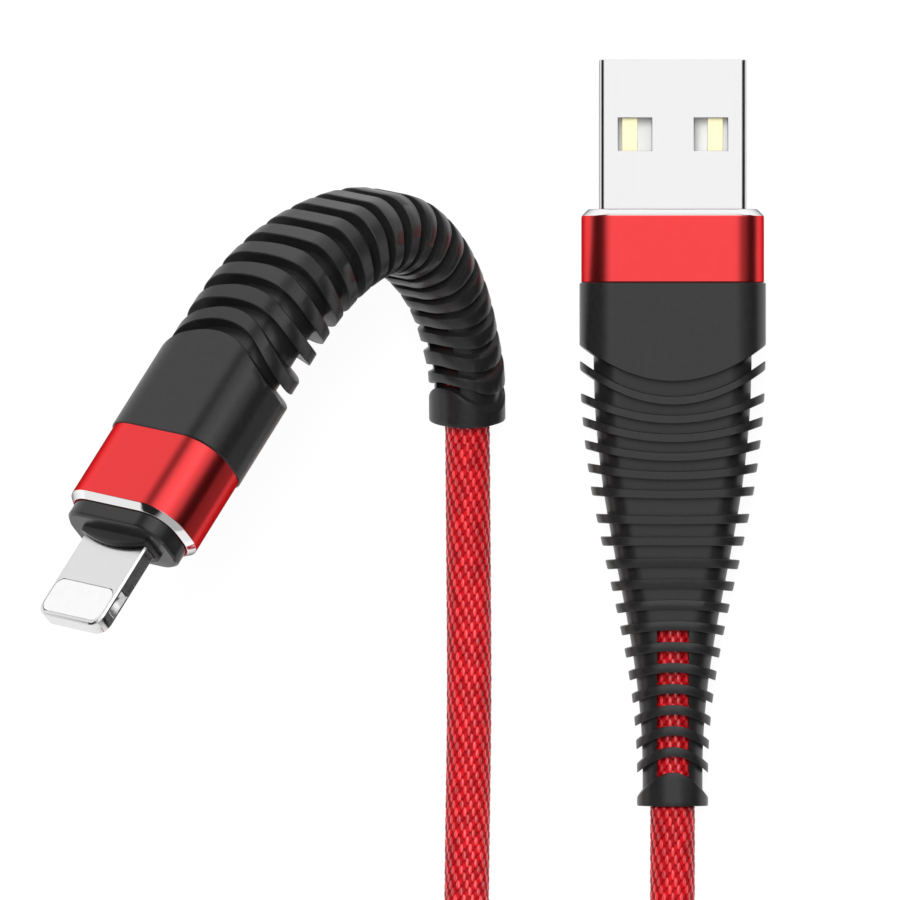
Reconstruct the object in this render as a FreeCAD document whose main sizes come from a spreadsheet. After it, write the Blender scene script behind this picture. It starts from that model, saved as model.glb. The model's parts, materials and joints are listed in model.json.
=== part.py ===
import FreeCAD, Part
import math
import os
import Sketcher
from FreeCAD import Placement, Rotation, Vector

# Charging cable: a USB-A plug and an 8-contact phone plug on one braided cord.
# World frame: +Z up, the floor at z = 0, +Y towards the USB-A plug's mouth.
# Each plug is drawn in a frame of its own, with z along the plug towards its tip,
# x across the wide face and y through the thickness, and z = 0 where ring meets boot.

doc = FreeCAD.newDocument("charging_cable")
sheet = doc.addObject("Spreadsheet::Sheet", "Sizes")

# Driving dimensions, in millimetres, degrees and counts
sizes = {
    # the cord
    "cord_diameter": 3.7,
    "cord_sides": 8,
    "wire_sides": 6,
    "play": 0.05,
    "bore_play": 0.05,
    # USB-A shell, of folded steel sheet
    "usb_shell_width": 12.0,
    "usb_shell_height": 4.5,
    "usb_shell_corner": 0.45,
    "usb_sheet": 0.3,
    "usb_shell_front": 18.2,
    "usb_shell_back": 1.0,
    "usb_window_width": 2.74,
    "usb_window_length": 2.7,
    "usb_window_offset": 3.1,
    "usb_window_setback": 6.1,
    "usb_seam": 0.12,
    # USB-A tongue and contacts
    "usb_tongue_thickness": 1.9,
    "usb_tongue_recess": 0.5,
    "usb_block_length": 7.0,
    "usb_contact_thickness": 0.2,
    "usb_contact_proud": 0.05,
    "usb_outer_contact_x": 3.5,
    "usb_outer_contact_width": 1.28,
    "usb_outer_contact_setback": 1.3,
    "usb_inner_contact_x": 1.0,
    "usb_inner_contact_width": 1.0,
    "usb_inner_contact_setback": 2.3,
    "usb_tail_length": 2.0,
    # USB-A ring and inner mould
    "usb_ring_side": 1.45,
    "usb_ring_face": 1.75,
    "usb_ring_width": "=usb_shell_width + 2 * usb_ring_side",
    "usb_ring_thickness": "=usb_shell_height + 2 * usb_ring_face",
    "usb_ring_corner": 2.5,
    "usb_ring_length": 6.0,
    "usb_ring_wall": 0.7,
    "usb_ring_front_wall": 0.8,
    "usb_bevel": 0.55,
    "usb_mould_shoulder": 3.5,
    "usb_mould_back": 8.1,
    "usb_mould_tail_width": 10.8,
    "usb_mould_tail_height": 5.2,
    "usb_mould_corner": 1.2,
    "usb_cavity_width": 8.4,
    "usb_cavity_height": 2.6,
    "usb_cord_stop": 6.0,
    # USB-A boot
    "usb_rib_proud": 0.15,
    "usb_grip_proud": 0.0,
    "usb_boot_width": "=usb_ring_width + 2 * usb_rib_proud",
    "usb_boot_thickness": "=usb_ring_thickness + 2 * usb_rib_proud",
    "usb_boot_corner": 2.6,
    "usb_grip_side": 5.1,
    "usb_grip_middle": 8.1,
    "usb_boot_straight": 42.75,
    "usb_bend_radius": 0.0,
    "usb_bend_turn": 0.0,
    "usb_boot_tail": 0.0,
    "usb_neck_radius": 0.0,
    "usb_neck_turn": 0.0,
    "usb_collar_run": 0.0,
    "usb_taper_start": 8.0,
    "usb_taper_end": 39.0,
    "usb_first_rib": 9.65,
    "usb_near_pitch": 1.53,
    "usb_far_rib": 19.4,
    "usb_last_rib": 38.3,
    "usb_rib_thickness": 0.75,
    "usb_collar_width": 5.8,
    "usb_collar_side": 0.7,
    "usb_collar_middle": 2.75,
    # what both boots share
    "rib_count": 18,
    "near_rib_count": 6,
    "rib_bow_plug": 2.5,
    "rib_bow_plug_power": 4,
    "rib_bow_collar": 1.4,
    "rib_bow_collar_power": 2.5,
    "bow_facets": 4,
    "bow_overrun": 1.05,
    "corner_facets": 3,
    "seat_corner_share": 0.85,
    "groove_at_plug": 1.15,
    "groove_at_collar": 0.45,
    "collar_flat": 0.5,
    "window_count": 7,
    "window_width": 2.56,
    # phone plug's blade, insert and board
    "tip_blade_width": 6.7,
    "tip_blade_thickness": 1.5,
    "tip_blade_corner": 1.1,
    "tip_blade_chamfer": 0.15,
    "tip_blade_front": 17.0,
    "tip_blade_back": 4.7,
    "tip_notch_radius": 1.6,
    "tip_notch_depth": 0.45,
    "tip_notch_height": 0.9,
    "tip_notch_setback": 2.7,
    "tip_flange_width": 8.2,
    "tip_flange_thickness": 2.4,
    "tip_flange_length": 1.5,
    "tip_insert_width": 5.5,
    "tip_insert_length": 3.1,
    "tip_insert_setback": 0.4,
    "tip_window_corner": 0.3,
    "tip_face_width": 6.1,
    "tip_face_corner": 0.8,
    "tip_face_depth": 0.2,
    "tip_pad_count": 8,
    "tip_pad_pitch": 0.6,
    "tip_pad_width": 0.38,
    "tip_pad_length": 1.9,
    "tip_pad_thickness": 0.06,
    "tip_board_width": 5.3,
    "tip_board_thickness": 0.6,
    "tip_board_back": 1.0,
    "tip_chip_width": 3.0,
    "tip_chip_height": 0.7,
    "tip_chip_back": 0.0,
    "tip_shield_length": 4.4,
    "tip_shield_height": 1.2,
    "tip_shield_sheet": 0.15,
    # phone plug's ring, cap and inner mould
    "tip_ring_width": 11.7,
    "tip_ring_thickness": 7.15,
    "tip_ring_corner": 3.0,
    "tip_ring_length": 7.3,
    "tip_ring_wall": 0.6,
    "tip_bevel": 0.5,
    "tip_cap_proud": 1.4,
    "tip_cap_chamfer": 0.3,
    "tip_boss_width": 7.4,
    "tip_boss_thickness": 2.5,
    "tip_boss_corner": 0.5,
    "tip_boss_proud": 1.0,
    "tip_mould_shoulder": 3.0,
    "tip_mould_back": 7.2,
    "tip_mould_tail_width": 8.0,
    "tip_mould_tail_height": 5.2,
    "tip_mould_corner": 1.2,
    "tip_cavity_width": 6.0,
    "tip_cavity_height": 3.2,
    "tip_cord_stop": 4.6,
    # phone plug's boot, bent back over itself
    "tip_boot_width": 11.5,
    "tip_boot_thickness": 7.0,
    "tip_boot_corner": 3.0,
    "tip_grip_proud": 0.15,
    "tip_grip_side": 7.3,
    "tip_grip_middle": 10.0,
    "tip_boot_straight": 16.1,
    "tip_bend_radius": 13.6,
    "tip_bend_turn": 115.2,
    "tip_boot_tail": 3.3,
    "tip_neck_radius": 8.0,
    "tip_neck_turn": 16.6,
    "tip_collar_run": 3.0,
    "tip_taper_start": 13.0,
    "tip_taper_end": 49.3,
    "tip_first_rib": 12.1,
    "tip_near_pitch": 2.1,
    "tip_far_rib": 24.5,
    "tip_last_rib": 47.2,
    "tip_rib_thickness": 1.25,
    "tip_collar_width": 6.2,
    "tip_collar_side": 1.1,
    "tip_collar_middle": 3.2,
    # where the phone plug is held
    "tip_x": -40.1,
    "tip_y": -14.1,
    "tip_z": 30.83,
    "tip_heading": 238.4,
    "tip_rise": 22.1,
    "tip_roll": 43.6,
    # crimps and wires
    "clamp_sheet": 0.25,
    "clamp_length": 2.0,
    "clamp_gap": 0.2,
    "wire_diameter": 0.8,
    "wire_spread": 0.55,
    "wire_run_share": 0.25,
    "tip_wire_pitch": 1.4,
    # the leads' square runs, out of each collar and into the coil
    "usb_lead_first_run": 3.8,
    "tip_lead_first_run": 8.7,
    "lead_last_run": 4.2,
    # the coil, wound in two layers and tied
    "coil_x": -8.4,
    "coil_y": -90.0,
    "coil_outer_radius": 26.0,
    "coil_gap": 0.45,
    "coil_quarters": 26,
    "coil_splay": 37.0,
    "coil_end_run": 3.7,
    "gap_steps": 6,
    "gap_skip_turn": 0.5,
    "tie_width": 8.0,
    "tie_thickness": 0.6,
    "tie_play": 0.1,
    "tie_corner": 1.9,
}

for row, (alias, value) in enumerate(sizes.items(), start=1):
    sheet.set("A%d" % row, alias)
    sheet.set("B%d" % row, str(value))
    sheet.setAlias("B%d" % row, alias)
doc.recompute()


def size(alias):
    """a dimension from the sheet as a plain number, for the shapes that Part's functions make"""
    return float(sheet.get(alias))


# Helpers for bodies and sketches

nodes = []


def keep(piece, label):
    """names a sub-part and puts it on the list of pieces to write"""
    piece.Label = label
    nodes.append(piece)
    return piece


def new_body(label):
    return keep(doc.addObject("PartDesign::Body", label), label)


def sketch_on(body, role, station="0", shift="0"):
    """a sketch on one of the body's origin planes, moved along its normal by station and up it by shift"""
    sketch = body.newObject("Sketcher::SketchObject", body.Name + "_sketch")
    plane = next(feature for feature in body.Origin.OriginFeatures if feature.Role == role)
    sketch.AttachmentSupport = [(plane, "")]
    sketch.MapMode = "FlatFace"
    sketch.setExpression("AttachmentOffset.Base.z", station)
    sketch.setExpression("AttachmentOffset.Base.y", shift)
    return sketch


def bind(sketch, constraint, name, expression):
    index = sketch.addConstraint(constraint)
    sketch.renameConstraint(index, name)
    sketch.setExpression("Constraints." + name, expression)


# the half width, half height and corner that a rounded rectangle has before its sizes bind
sketch_seed = (3.0, 2.0, 0.5)
# how far an edge may stray and still count as flat
flat = 1e-4
# the share of a face's reach past which an edge belongs to its outline
outline_share = 0.9


def rounded_rectangle(sketch, tag, width, height, corner):
    """four lines and four arcs about the sketch's origin, sized by three expressions"""
    first = sketch.GeometryCount
    x, y, r = sketch_seed
    quarter = math.pi / 2
    ends = [
        (Vector(-x + r, -y, 0), Vector(x - r, -y, 0)),
        (Vector(x, -y + r, 0), Vector(x, y - r, 0)),
        (Vector(x - r, y, 0), Vector(-x + r, y, 0)),
        (Vector(-x, y - r, 0), Vector(-x, -y + r, 0)),
    ]
    centres = [Vector(x - r, -y + r, 0), Vector(x - r, y - r, 0),
               Vector(-x + r, y - r, 0), Vector(-x + r, -y + r, 0)]
    for start, end in ends:
        sketch.addGeometry(Part.LineSegment(start, end), False)
    for turn, centre in enumerate(centres):
        circle = Part.Circle(centre, Vector(0, 0, 1), r)
        sketch.addGeometry(Part.ArcOfCircle(circle, (turn - 1) * quarter, turn * quarter), False)
    for side in range(4):
        line, arc, following = first + side, first + 4 + side, first + (side + 1) % 4
        sketch.addConstraint(Sketcher.Constraint("Tangent", line, 2, arc, 1))
        sketch.addConstraint(Sketcher.Constraint("Tangent", arc, 2, following, 1))
        if side:
            sketch.addConstraint(Sketcher.Constraint("Equal", first + 4, arc))
    sketch.addConstraint(Sketcher.Constraint("Horizontal", first))
    sketch.addConstraint(Sketcher.Constraint("Vertical", first + 1))
    sketch.addConstraint(Sketcher.Constraint("Horizontal", first + 2))
    sketch.addConstraint(Sketcher.Constraint("Vertical", first + 3))
    sketch.addConstraint(Sketcher.Constraint("Symmetric", first, 1, first + 2, 1, -1, 1))
    bind(sketch, Sketcher.Constraint("Radius", first + 4, r), tag + "_corner", corner)
    bind(sketch, Sketcher.Constraint("DistanceX", first + 3, 1, first + 1, 1, 2 * x), tag + "_width", width)
    bind(sketch, Sketcher.Constraint("DistanceY", first, 1, first + 2, 1, 2 * y), tag + "_height", height)


def rectangle(sketch, tag, width, height, x="0", y="0"):
    """a plain rectangle whose centre stands at x, y"""
    first = sketch.GeometryCount
    corners = [Vector(1, 1, 0), Vector(3, 1, 0), Vector(3, 2, 0), Vector(1, 2, 0)]
    for side in range(4):
        sketch.addGeometry(Part.LineSegment(corners[side], corners[(side + 1) % 4]), False)
    for side in range(4):
        following = first + (side + 1) % 4
        sketch.addConstraint(Sketcher.Constraint("Coincident", first + side, 2, following, 1))
        kind = "Vertical" if side % 2 else "Horizontal"
        sketch.addConstraint(Sketcher.Constraint(kind, first + side))
    bind(sketch, Sketcher.Constraint("DistanceX", first, 1, first, 2, 2), tag + "_width", width)
    bind(sketch, Sketcher.Constraint("DistanceY", first + 1, 1, first + 1, 2, 1), tag + "_height", height)
    left = "(%s) - (%s) / 2" % (x, width)
    low = "(%s) - (%s) / 2" % (y, height)
    bind(sketch, Sketcher.Constraint("DistanceX", -1, 1, first, 1, 1), tag + "_left", left)
    bind(sketch, Sketcher.Constraint("DistanceY", -1, 1, first, 1, 1), tag + "_low", low)


def round_hole(sketch, tag, diameter, x="0", y="0"):
    index = sketch.addGeometry(Part.Circle(Vector(1, 1, 0), Vector(0, 0, 1), 1), False)
    bind(sketch, Sketcher.Constraint("Diameter", index, 2), tag + "_diameter", diameter)
    bind(sketch, Sketcher.Constraint("DistanceX", -1, 1, index, 3, 1), tag + "_x", x)
    bind(sketch, Sketcher.Constraint("DistanceY", -1, 1, index, 3, 1), tag + "_y", y)


def pad(body, sketch, length, symmetric=False):
    feature = body.newObject("PartDesign::Pad", body.Name + "_pad")
    feature.Profile = sketch
    feature.SideType = "Symmetric" if symmetric else "One side"
    feature.setExpression("Length", length)
    doc.recompute()
    return feature


def pocket(body, sketch, depth, symmetric=False, reverse=False):
    """cuts the sketch down its own normal, and makes sure that it took something away"""
    before = body.Shape.Volume
    feature = body.newObject("PartDesign::Pocket", body.Name + "_pocket")
    feature.Profile = sketch
    feature.SideType = "Symmetric" if symmetric else "One side"
    feature.Reversed = reverse
    feature.setExpression("Length", depth)
    doc.recompute()
    if body.Shape.Volume >= before:
        raise ValueError("the pocket %s removes nothing" % feature.Name)
    return feature


def front_edges(shape, station, outer):
    """the names of the edges that lie flat at a station, on the outline or on a slot inside it"""
    level = [
        (number, edge) for number, edge in enumerate(shape.Edges, start=1)
        if abs(edge.BoundBox.ZMin - station) < flat and abs(edge.BoundBox.ZMax - station) < flat
    ]
    reach = max(abs(edge.BoundBox.Center.y) for number, edge in level)
    across = max(abs(edge.BoundBox.Center.x) for number, edge in level)
    return [
        "Edge%d" % number for number, edge in level
        if (max(abs(edge.BoundBox.Center.y) / reach,
                abs(edge.BoundBox.Center.x) / across) > outline_share) == outer
    ]


def box(label, length, width, height, x, y, z):
    """a Part box by expressions: x, y and z are the place of its centre line's lowest point"""
    piece = doc.addObject("Part::Box", label)
    piece.setExpression("Length", length)
    piece.setExpression("Width", width)
    piece.setExpression("Height", height)
    piece.setExpression("Placement.Base.x", "(%s) - (%s) / 2" % (x, length))
    piece.setExpression("Placement.Base.y", y)
    piece.setExpression("Placement.Base.z", z)
    return piece


def group(label, pieces):
    """several separate solids that share a node"""
    compound = doc.addObject("Part::Compound", label)
    compound.Links = pieces
    return keep(compound, label)


def solid_of(label, shape):
    """a sub-part whose shape is worked out by Part's own functions"""
    piece = doc.addObject("Part::Feature", label)
    piece.Shape = shape
    return keep(piece, label)


# Where each plug lies: the USB-A plug flat on its wide face, the phone plug held up by its bent boot

turn_to_plug = Rotation(Vector(-1, 0, 0), Vector(0, 0, 1), Vector(0, 1, 0), "ZXY")
usb_place = Placement(Vector(0, 0, size("usb_boot_thickness") / 2), turn_to_plug)
tip_turn = (Rotation(Vector(0, 0, 1), size("tip_heading") - 90)
            * Rotation(Vector(1, 0, 0), size("tip_rise"))
            * Rotation(Vector(0, 1, 0), size("tip_roll")))
tip_place = Placement(Vector(size("tip_x"), size("tip_y"), size("tip_z")), tip_turn * turn_to_plug)


# USB-A plug: folded steel shell with its seam underneath and two latch windows on each wide face

def usb_shell():
    body = new_body("usb_shell")
    outline = sketch_on(body, "XY_Plane", "Sizes.usb_shell_back")
    rounded_rectangle(outline, "outer", "Sizes.usb_shell_width", "Sizes.usb_shell_height",
                      "Sizes.usb_shell_corner")
    rounded_rectangle(outline, "inner", "Sizes.usb_shell_width - 2 * Sizes.usb_sheet",
                      "Sizes.usb_shell_height - 2 * Sizes.usb_sheet",
                      "Sizes.usb_shell_corner - Sizes.usb_sheet")
    pad(body, outline, "Sizes.usb_shell_front - Sizes.usb_shell_back")
    windows = sketch_on(body, "XZ_Plane")
    for side, sign in (("left", "-"), ("right", "")):
        rectangle(windows, side, "Sizes.usb_window_width", "Sizes.usb_window_length",
                  sign + "Sizes.usb_window_offset",
                  "Sizes.usb_shell_front - Sizes.usb_window_setback")
    pocket(body, windows, "2 * Sizes.usb_shell_height", symmetric=True)
    seam = sketch_on(body, "XY_Plane", "Sizes.usb_shell_front")
    rectangle(seam, "seam", "Sizes.usb_seam", "2 * Sizes.usb_sheet", "0", "-Sizes.usb_shell_height / 2")
    pocket(body, seam, "Sizes.usb_shell_front - Sizes.usb_shell_back")
    return body


# The white insulator: a block that fills the back of the shell, and a tongue along one wide wall

tongue_top = "(-Sizes.usb_shell_height / 2 + Sizes.usb_sheet + Sizes.usb_tongue_thickness)"
contact_low = "(%s + Sizes.usb_contact_proud - Sizes.usb_contact_thickness)" % tongue_top
contact_rows = [
    ("outer", "-Sizes.usb_outer_contact_x"), ("inner", "-Sizes.usb_inner_contact_x"),
    ("inner", "Sizes.usb_inner_contact_x"), ("outer", "Sizes.usb_outer_contact_x"),
]


def usb_insulator():
    body = new_body("usb_insulator")
    inside = "Sizes.usb_shell_width - 2 * Sizes.usb_sheet - 2 * Sizes.play"
    inside_height = "(Sizes.usb_shell_height - 2 * Sizes.usb_sheet - 2 * Sizes.play)"
    block = sketch_on(body, "XY_Plane", "Sizes.usb_shell_back")
    rounded_rectangle(block, "block", inside, inside_height,
                      "Sizes.usb_shell_corner - Sizes.usb_sheet")
    pad(body, block, "Sizes.usb_block_length")
    tongue = sketch_on(body, "XY_Plane", "Sizes.usb_shell_back")
    tongue_height = "(Sizes.usb_tongue_thickness - Sizes.play)"
    rectangle(tongue, "tongue", inside + " - Sizes.usb_shell_corner", tongue_height, "0",
              "-%s / 2 + %s / 2" % (inside_height, tongue_height))
    pad(body, tongue, "Sizes.usb_shell_front - Sizes.usb_tongue_recess - Sizes.usb_shell_back")
    for kind in ("outer", "inner"):
        grooves = sketch_on(body, "XY_Plane", "Sizes.usb_shell_front - Sizes.usb_%s_contact_setback" % kind)
        for side, sign in (("left", "-"), ("right", "")):
            rectangle(grooves, side, "Sizes.usb_%s_contact_width" % kind, "Sizes.usb_contact_thickness",
                      "%sSizes.usb_%s_contact_x" % (sign, kind),
                      contact_low + " + Sizes.usb_contact_thickness / 2")
        pocket(body, grooves, "Sizes.usb_shell_front")
    return body


def usb_contacts():
    strips = []
    back = "(Sizes.usb_shell_back - Sizes.usb_tail_length)"
    for number, (kind, x) in enumerate(contact_rows, start=1):
        front = "(Sizes.usb_shell_front - Sizes.usb_%s_contact_setback)" % kind
        strips.append(box("usb_contact_%d" % number, "Sizes.usb_%s_contact_width" % kind,
                          "Sizes.usb_contact_thickness", "%s - %s" % (front, back),
                          x, contact_low, back))
    return group("usb_contacts", strips)


# Rings: turned down at the front by a bright-cut bevel; the USB-A ring closes round its shell

def usb_ring():
    body = new_body("usb_ring")
    outline = sketch_on(body, "XY_Plane")
    rounded_rectangle(outline, "outer", "Sizes.usb_ring_width", "Sizes.usb_ring_thickness",
                      "Sizes.usb_ring_corner")
    pad(body, outline, "Sizes.usb_ring_length")
    hollow = sketch_on(body, "XY_Plane", "Sizes.usb_ring_length - Sizes.usb_ring_front_wall")
    rounded_rectangle(hollow, "inner", "Sizes.usb_ring_width - 2 * Sizes.usb_ring_wall",
                      "Sizes.usb_ring_thickness - 2 * Sizes.usb_ring_wall",
                      "Sizes.usb_ring_corner - Sizes.usb_ring_wall")
    pocket(body, hollow, "Sizes.usb_ring_length")
    slot = sketch_on(body, "XY_Plane", "Sizes.usb_ring_length")
    rounded_rectangle(slot, "slot", "Sizes.usb_shell_width + 2 * Sizes.play",
                      "Sizes.usb_shell_height + 2 * Sizes.play", "Sizes.usb_shell_corner + Sizes.play")
    last = pocket(body, slot, "Sizes.usb_ring_length")
    bevel = body.newObject("PartDesign::Chamfer", "usb_ring_bevel")
    bevel.Base = (last, front_edges(last.Shape, size("usb_ring_length"), outer=True))
    bevel.setExpression("Size", "Sizes.usb_bevel")
    return body


def tip_ring():
    body = new_body("tip_ring")
    outline = sketch_on(body, "XY_Plane")
    rounded_rectangle(outline, "outer", "Sizes.tip_ring_width", "Sizes.tip_ring_thickness",
                      "Sizes.tip_ring_corner")
    first = pad(body, outline, "Sizes.tip_ring_length")
    bevel = body.newObject("PartDesign::Chamfer", "tip_ring_bevel")
    bevel.Base = (first, front_edges(first.Shape, size("tip_ring_length"), outer=True))
    bevel.setExpression("Size", "Sizes.tip_bevel")
    doc.recompute()
    hollow = sketch_on(body, "XY_Plane", "Sizes.tip_ring_length")
    rounded_rectangle(hollow, "inner", "Sizes.tip_ring_width - 2 * Sizes.tip_ring_wall",
                      "Sizes.tip_ring_thickness - 2 * Sizes.tip_ring_wall",
                      "Sizes.tip_ring_corner - Sizes.tip_ring_wall")
    pocket(body, hollow, "Sizes.tip_ring_length")
    return body


# Inner moulds: hard blocks that hold shell or board, wires and crimp inside ring and grip

def inner_mould(plug, front):
    body = new_body(plug + "_inner_mould")
    inside = "Sizes.%s_ring_%s - 2 * Sizes.%s_ring_wall - 2 * Sizes.play"
    main = sketch_on(body, "XY_Plane", "-Sizes.%s_mould_shoulder" % plug)
    rounded_rectangle(main, "main", inside % (plug, "width", plug), inside % (plug, "thickness", plug),
                      "Sizes.%s_ring_corner - Sizes.%s_ring_wall - Sizes.play" % (plug, plug))
    pad(body, main, "%s + Sizes.%s_mould_shoulder" % (front, plug))
    tail = sketch_on(body, "XY_Plane", "-Sizes.%s_mould_back" % plug)
    rounded_rectangle(tail, "tail", "Sizes.%s_mould_tail_width" % plug,
                      "Sizes.%s_mould_tail_height" % plug, "Sizes.%s_mould_corner" % plug)
    pad(body, tail, "Sizes.%s_mould_back" % plug)
    cavity = sketch_on(body, "XY_Plane", front)
    rectangle(cavity, "cavity", "Sizes.%s_cavity_width" % plug, "Sizes.%s_cavity_height" % plug)
    pocket(body, cavity, "%s + Sizes.%s_cord_stop" % (front, plug))
    throat = sketch_on(body, "XY_Plane", "-Sizes.%s_cord_stop" % plug)
    round_hole(throat, "throat", "Sizes.cord_diameter + 4 * Sizes.play + 2 * Sizes.clamp_sheet")
    pocket(body, throat, "Sizes.%s_mould_back" % plug)
    return body


usb_mould_front = "(Sizes.usb_ring_length - Sizes.usb_ring_front_wall - Sizes.play)"
tip_mould_front = "(Sizes.tip_blade_back - Sizes.play)"


def usb_inner_mould():
    body = inner_mould("usb", usb_mould_front)
    seat = sketch_on(body, "XY_Plane", usb_mould_front)
    rounded_rectangle(seat, "seat", "Sizes.usb_shell_width + 2 * Sizes.play",
                      "Sizes.usb_shell_height + 2 * Sizes.play", "Sizes.usb_shell_corner + Sizes.play")
    pocket(body, seat, usb_mould_front + " - Sizes.usb_shell_back + Sizes.play")
    return body


# The crimp band round the cord's end, rolled from sheet with a gap along its top

def cord_clamp(plug):
    body = new_body(plug + "_cord_clamp")
    band = sketch_on(body, "XY_Plane", "-Sizes.%s_cord_stop - Sizes.clamp_length" % plug)
    round_hole(band, "outer", "Sizes.cord_diameter + 2 * Sizes.play + 2 * Sizes.clamp_sheet")
    round_hole(band, "inner", "Sizes.cord_diameter + 2 * Sizes.play")
    pad(body, band, "Sizes.clamp_length")
    gap = sketch_on(body, "XY_Plane", "0")
    rectangle(gap, "gap", "Sizes.clamp_gap", "Sizes.cord_diameter", "0", "Sizes.cord_diameter / 2")
    pocket(body, gap, "2 * Sizes.%s_cord_stop + 2 * Sizes.clamp_length" % plug)
    return body


# Phone plug's blade: a flat metal frame with rounded tip corners, two side notches and a back flange

insert_middle = "(Sizes.tip_blade_front - Sizes.tip_insert_setback - Sizes.tip_insert_length / 2)"


def tip_blade():
    body = new_body("tip_blade")
    plan = sketch_on(body, "XZ_Plane")
    rectangle(plan, "plan", "Sizes.tip_blade_width", "Sizes.tip_blade_front - Sizes.tip_blade_back",
              "0", "(Sizes.tip_blade_front + Sizes.tip_blade_back) / 2")
    first = pad(body, plan, "Sizes.tip_blade_thickness", symmetric=True)
    corners = body.newObject("PartDesign::Fillet", "tip_blade_corners")
    corners.Base = (first, [
        "Edge%d" % number for number, edge in enumerate(first.Shape.Edges, start=1)
        if edge.BoundBox.ZMin > size("tip_blade_front") - flat and edge.BoundBox.XLength < flat
    ])
    corners.setExpression("Radius", "Sizes.tip_blade_corner")
    doc.recompute()
    rim = body.newObject("PartDesign::Chamfer", "tip_blade_rim")
    rim.Base = (corners, [
        "Edge%d" % number for number, edge in enumerate(corners.Shape.Edges, start=1)
        if edge.BoundBox.YLength < flat and edge.BoundBox.ZMax > size("tip_blade_back") + flat
    ])
    rim.setExpression("Size", "Sizes.tip_blade_chamfer")
    doc.recompute()
    flange = sketch_on(body, "XY_Plane", "Sizes.tip_blade_back")
    rectangle(flange, "flange", "Sizes.tip_flange_width", "Sizes.tip_flange_thickness")
    pad(body, flange, "Sizes.tip_flange_length")
    notches = sketch_on(body, "XZ_Plane")
    reach = "(Sizes.tip_blade_width / 2 + Sizes.tip_notch_radius - Sizes.tip_notch_depth)"
    for side, sign in (("left", "-"), ("right", "")):
        round_hole(notches, side, "2 * Sizes.tip_notch_radius", sign + reach,
                   "Sizes.tip_blade_front - Sizes.tip_notch_setback")
    pocket(body, notches, "Sizes.tip_notch_height", symmetric=True)
    slot = sketch_on(body, "XY_Plane",
                     "Sizes.tip_blade_front - Sizes.tip_insert_setback - Sizes.tip_insert_length")
    rectangle(slot, "slot", "Sizes.tip_board_width + 2 * Sizes.play",
              "Sizes.tip_board_thickness + 2 * Sizes.play")
    pocket(body, slot, "Sizes.tip_blade_front")
    window = sketch_on(body, "XZ_Plane", shift=insert_middle)
    rounded_rectangle(window, "window", "Sizes.tip_insert_width + 2 * Sizes.play",
                      "Sizes.tip_insert_length + 2 * Sizes.play", "Sizes.tip_window_corner")
    pocket(body, window, "2 * Sizes.tip_blade_thickness", symmetric=True)
    for sign, reverse in (("", False), ("-", True)):
        recess = sketch_on(body, "XZ_Plane", sign + "Sizes.tip_blade_thickness / 2", insert_middle)
        rounded_rectangle(recess, "recess", "Sizes.tip_face_width + 2 * Sizes.play",
                          "Sizes.tip_insert_length + 2 * Sizes.play", "Sizes.tip_face_corner + Sizes.play")
        pocket(body, recess, "Sizes.tip_face_depth + Sizes.play", reverse=reverse)
    return body


def tip_insert():
    """a white block through the blade's window, with a wider thin plate on each face"""
    body = new_body("tip_insert")
    plan = sketch_on(body, "XZ_Plane", shift=insert_middle)
    rounded_rectangle(plan, "plate", "Sizes.tip_face_width", "Sizes.tip_insert_length",
                      "Sizes.tip_face_corner")
    pad(body, plan, "Sizes.tip_blade_thickness", symmetric=True)
    waist = sketch_on(body, "XZ_Plane")
    for side, sign in (("left", "-"), ("right", "")):
        rectangle(waist, side, "Sizes.tip_face_width - Sizes.tip_insert_width", "2 * Sizes.tip_insert_length",
                  sign + "Sizes.tip_face_width / 2", insert_middle)
    pocket(body, waist, "Sizes.tip_blade_thickness - 2 * Sizes.tip_face_depth", symmetric=True)
    return body


def tip_pads():
    """the eight contact pads, on the face turned away from the eye"""
    pads = []
    count = int(size("tip_pad_count"))
    for number in range(count):
        x = "(%d - (Sizes.tip_pad_count - 1) / 2) * Sizes.tip_pad_pitch" % number
        pads.append(box("tip_pad_%d" % (number + 1), "Sizes.tip_pad_width", "Sizes.tip_pad_thickness",
                        "Sizes.tip_pad_length", x, "-Sizes.tip_blade_thickness / 2 - Sizes.tip_pad_thickness",
                        insert_middle + " - Sizes.tip_pad_length / 2"))
    return group("tip_pads", pads)


# The circuit board behind the blade, its controller and the shield can over it

def tip_board():
    body = new_body("tip_board")
    front = "(Sizes.tip_blade_front - Sizes.tip_insert_setback - Sizes.tip_insert_length - Sizes.play)"
    section = sketch_on(body, "XY_Plane", "-Sizes.tip_board_back")
    rectangle(section, "board", "Sizes.tip_board_width", "Sizes.tip_board_thickness")
    pad(body, section, front + " + Sizes.tip_board_back")
    return body


def tip_controller():
    body = new_body("tip_controller")
    section = sketch_on(body, "XY_Plane", "Sizes.tip_chip_back")
    rectangle(section, "chip", "Sizes.tip_chip_width", "Sizes.tip_chip_height", "0",
              "(Sizes.tip_board_thickness + Sizes.tip_chip_height) / 2")
    pad(body, section, "Sizes.tip_chip_width")
    return body


def tip_shield():
    body = new_body("tip_shield")
    start = "Sizes.tip_chip_back + Sizes.tip_chip_width / 2 - Sizes.tip_shield_length / 2"
    can = sketch_on(body, "XY_Plane", start)
    centre = "Sizes.tip_board_thickness / 2 + Sizes.tip_shield_height / 2"
    rectangle(can, "can", "Sizes.tip_board_width", "Sizes.tip_shield_height", "0", centre)
    pad(body, can, "Sizes.tip_shield_length")
    inside = sketch_on(body, "XY_Plane", start + " + Sizes.tip_shield_length - Sizes.tip_shield_sheet")
    rectangle(inside, "inside", "Sizes.tip_board_width - 2 * Sizes.tip_shield_sheet",
              "Sizes.tip_shield_height - Sizes.tip_shield_sheet", "0",
              centre + " - Sizes.tip_shield_sheet / 2")
    pocket(body, inside, "Sizes.tip_shield_length - 2 * Sizes.tip_shield_sheet")
    return body


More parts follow.
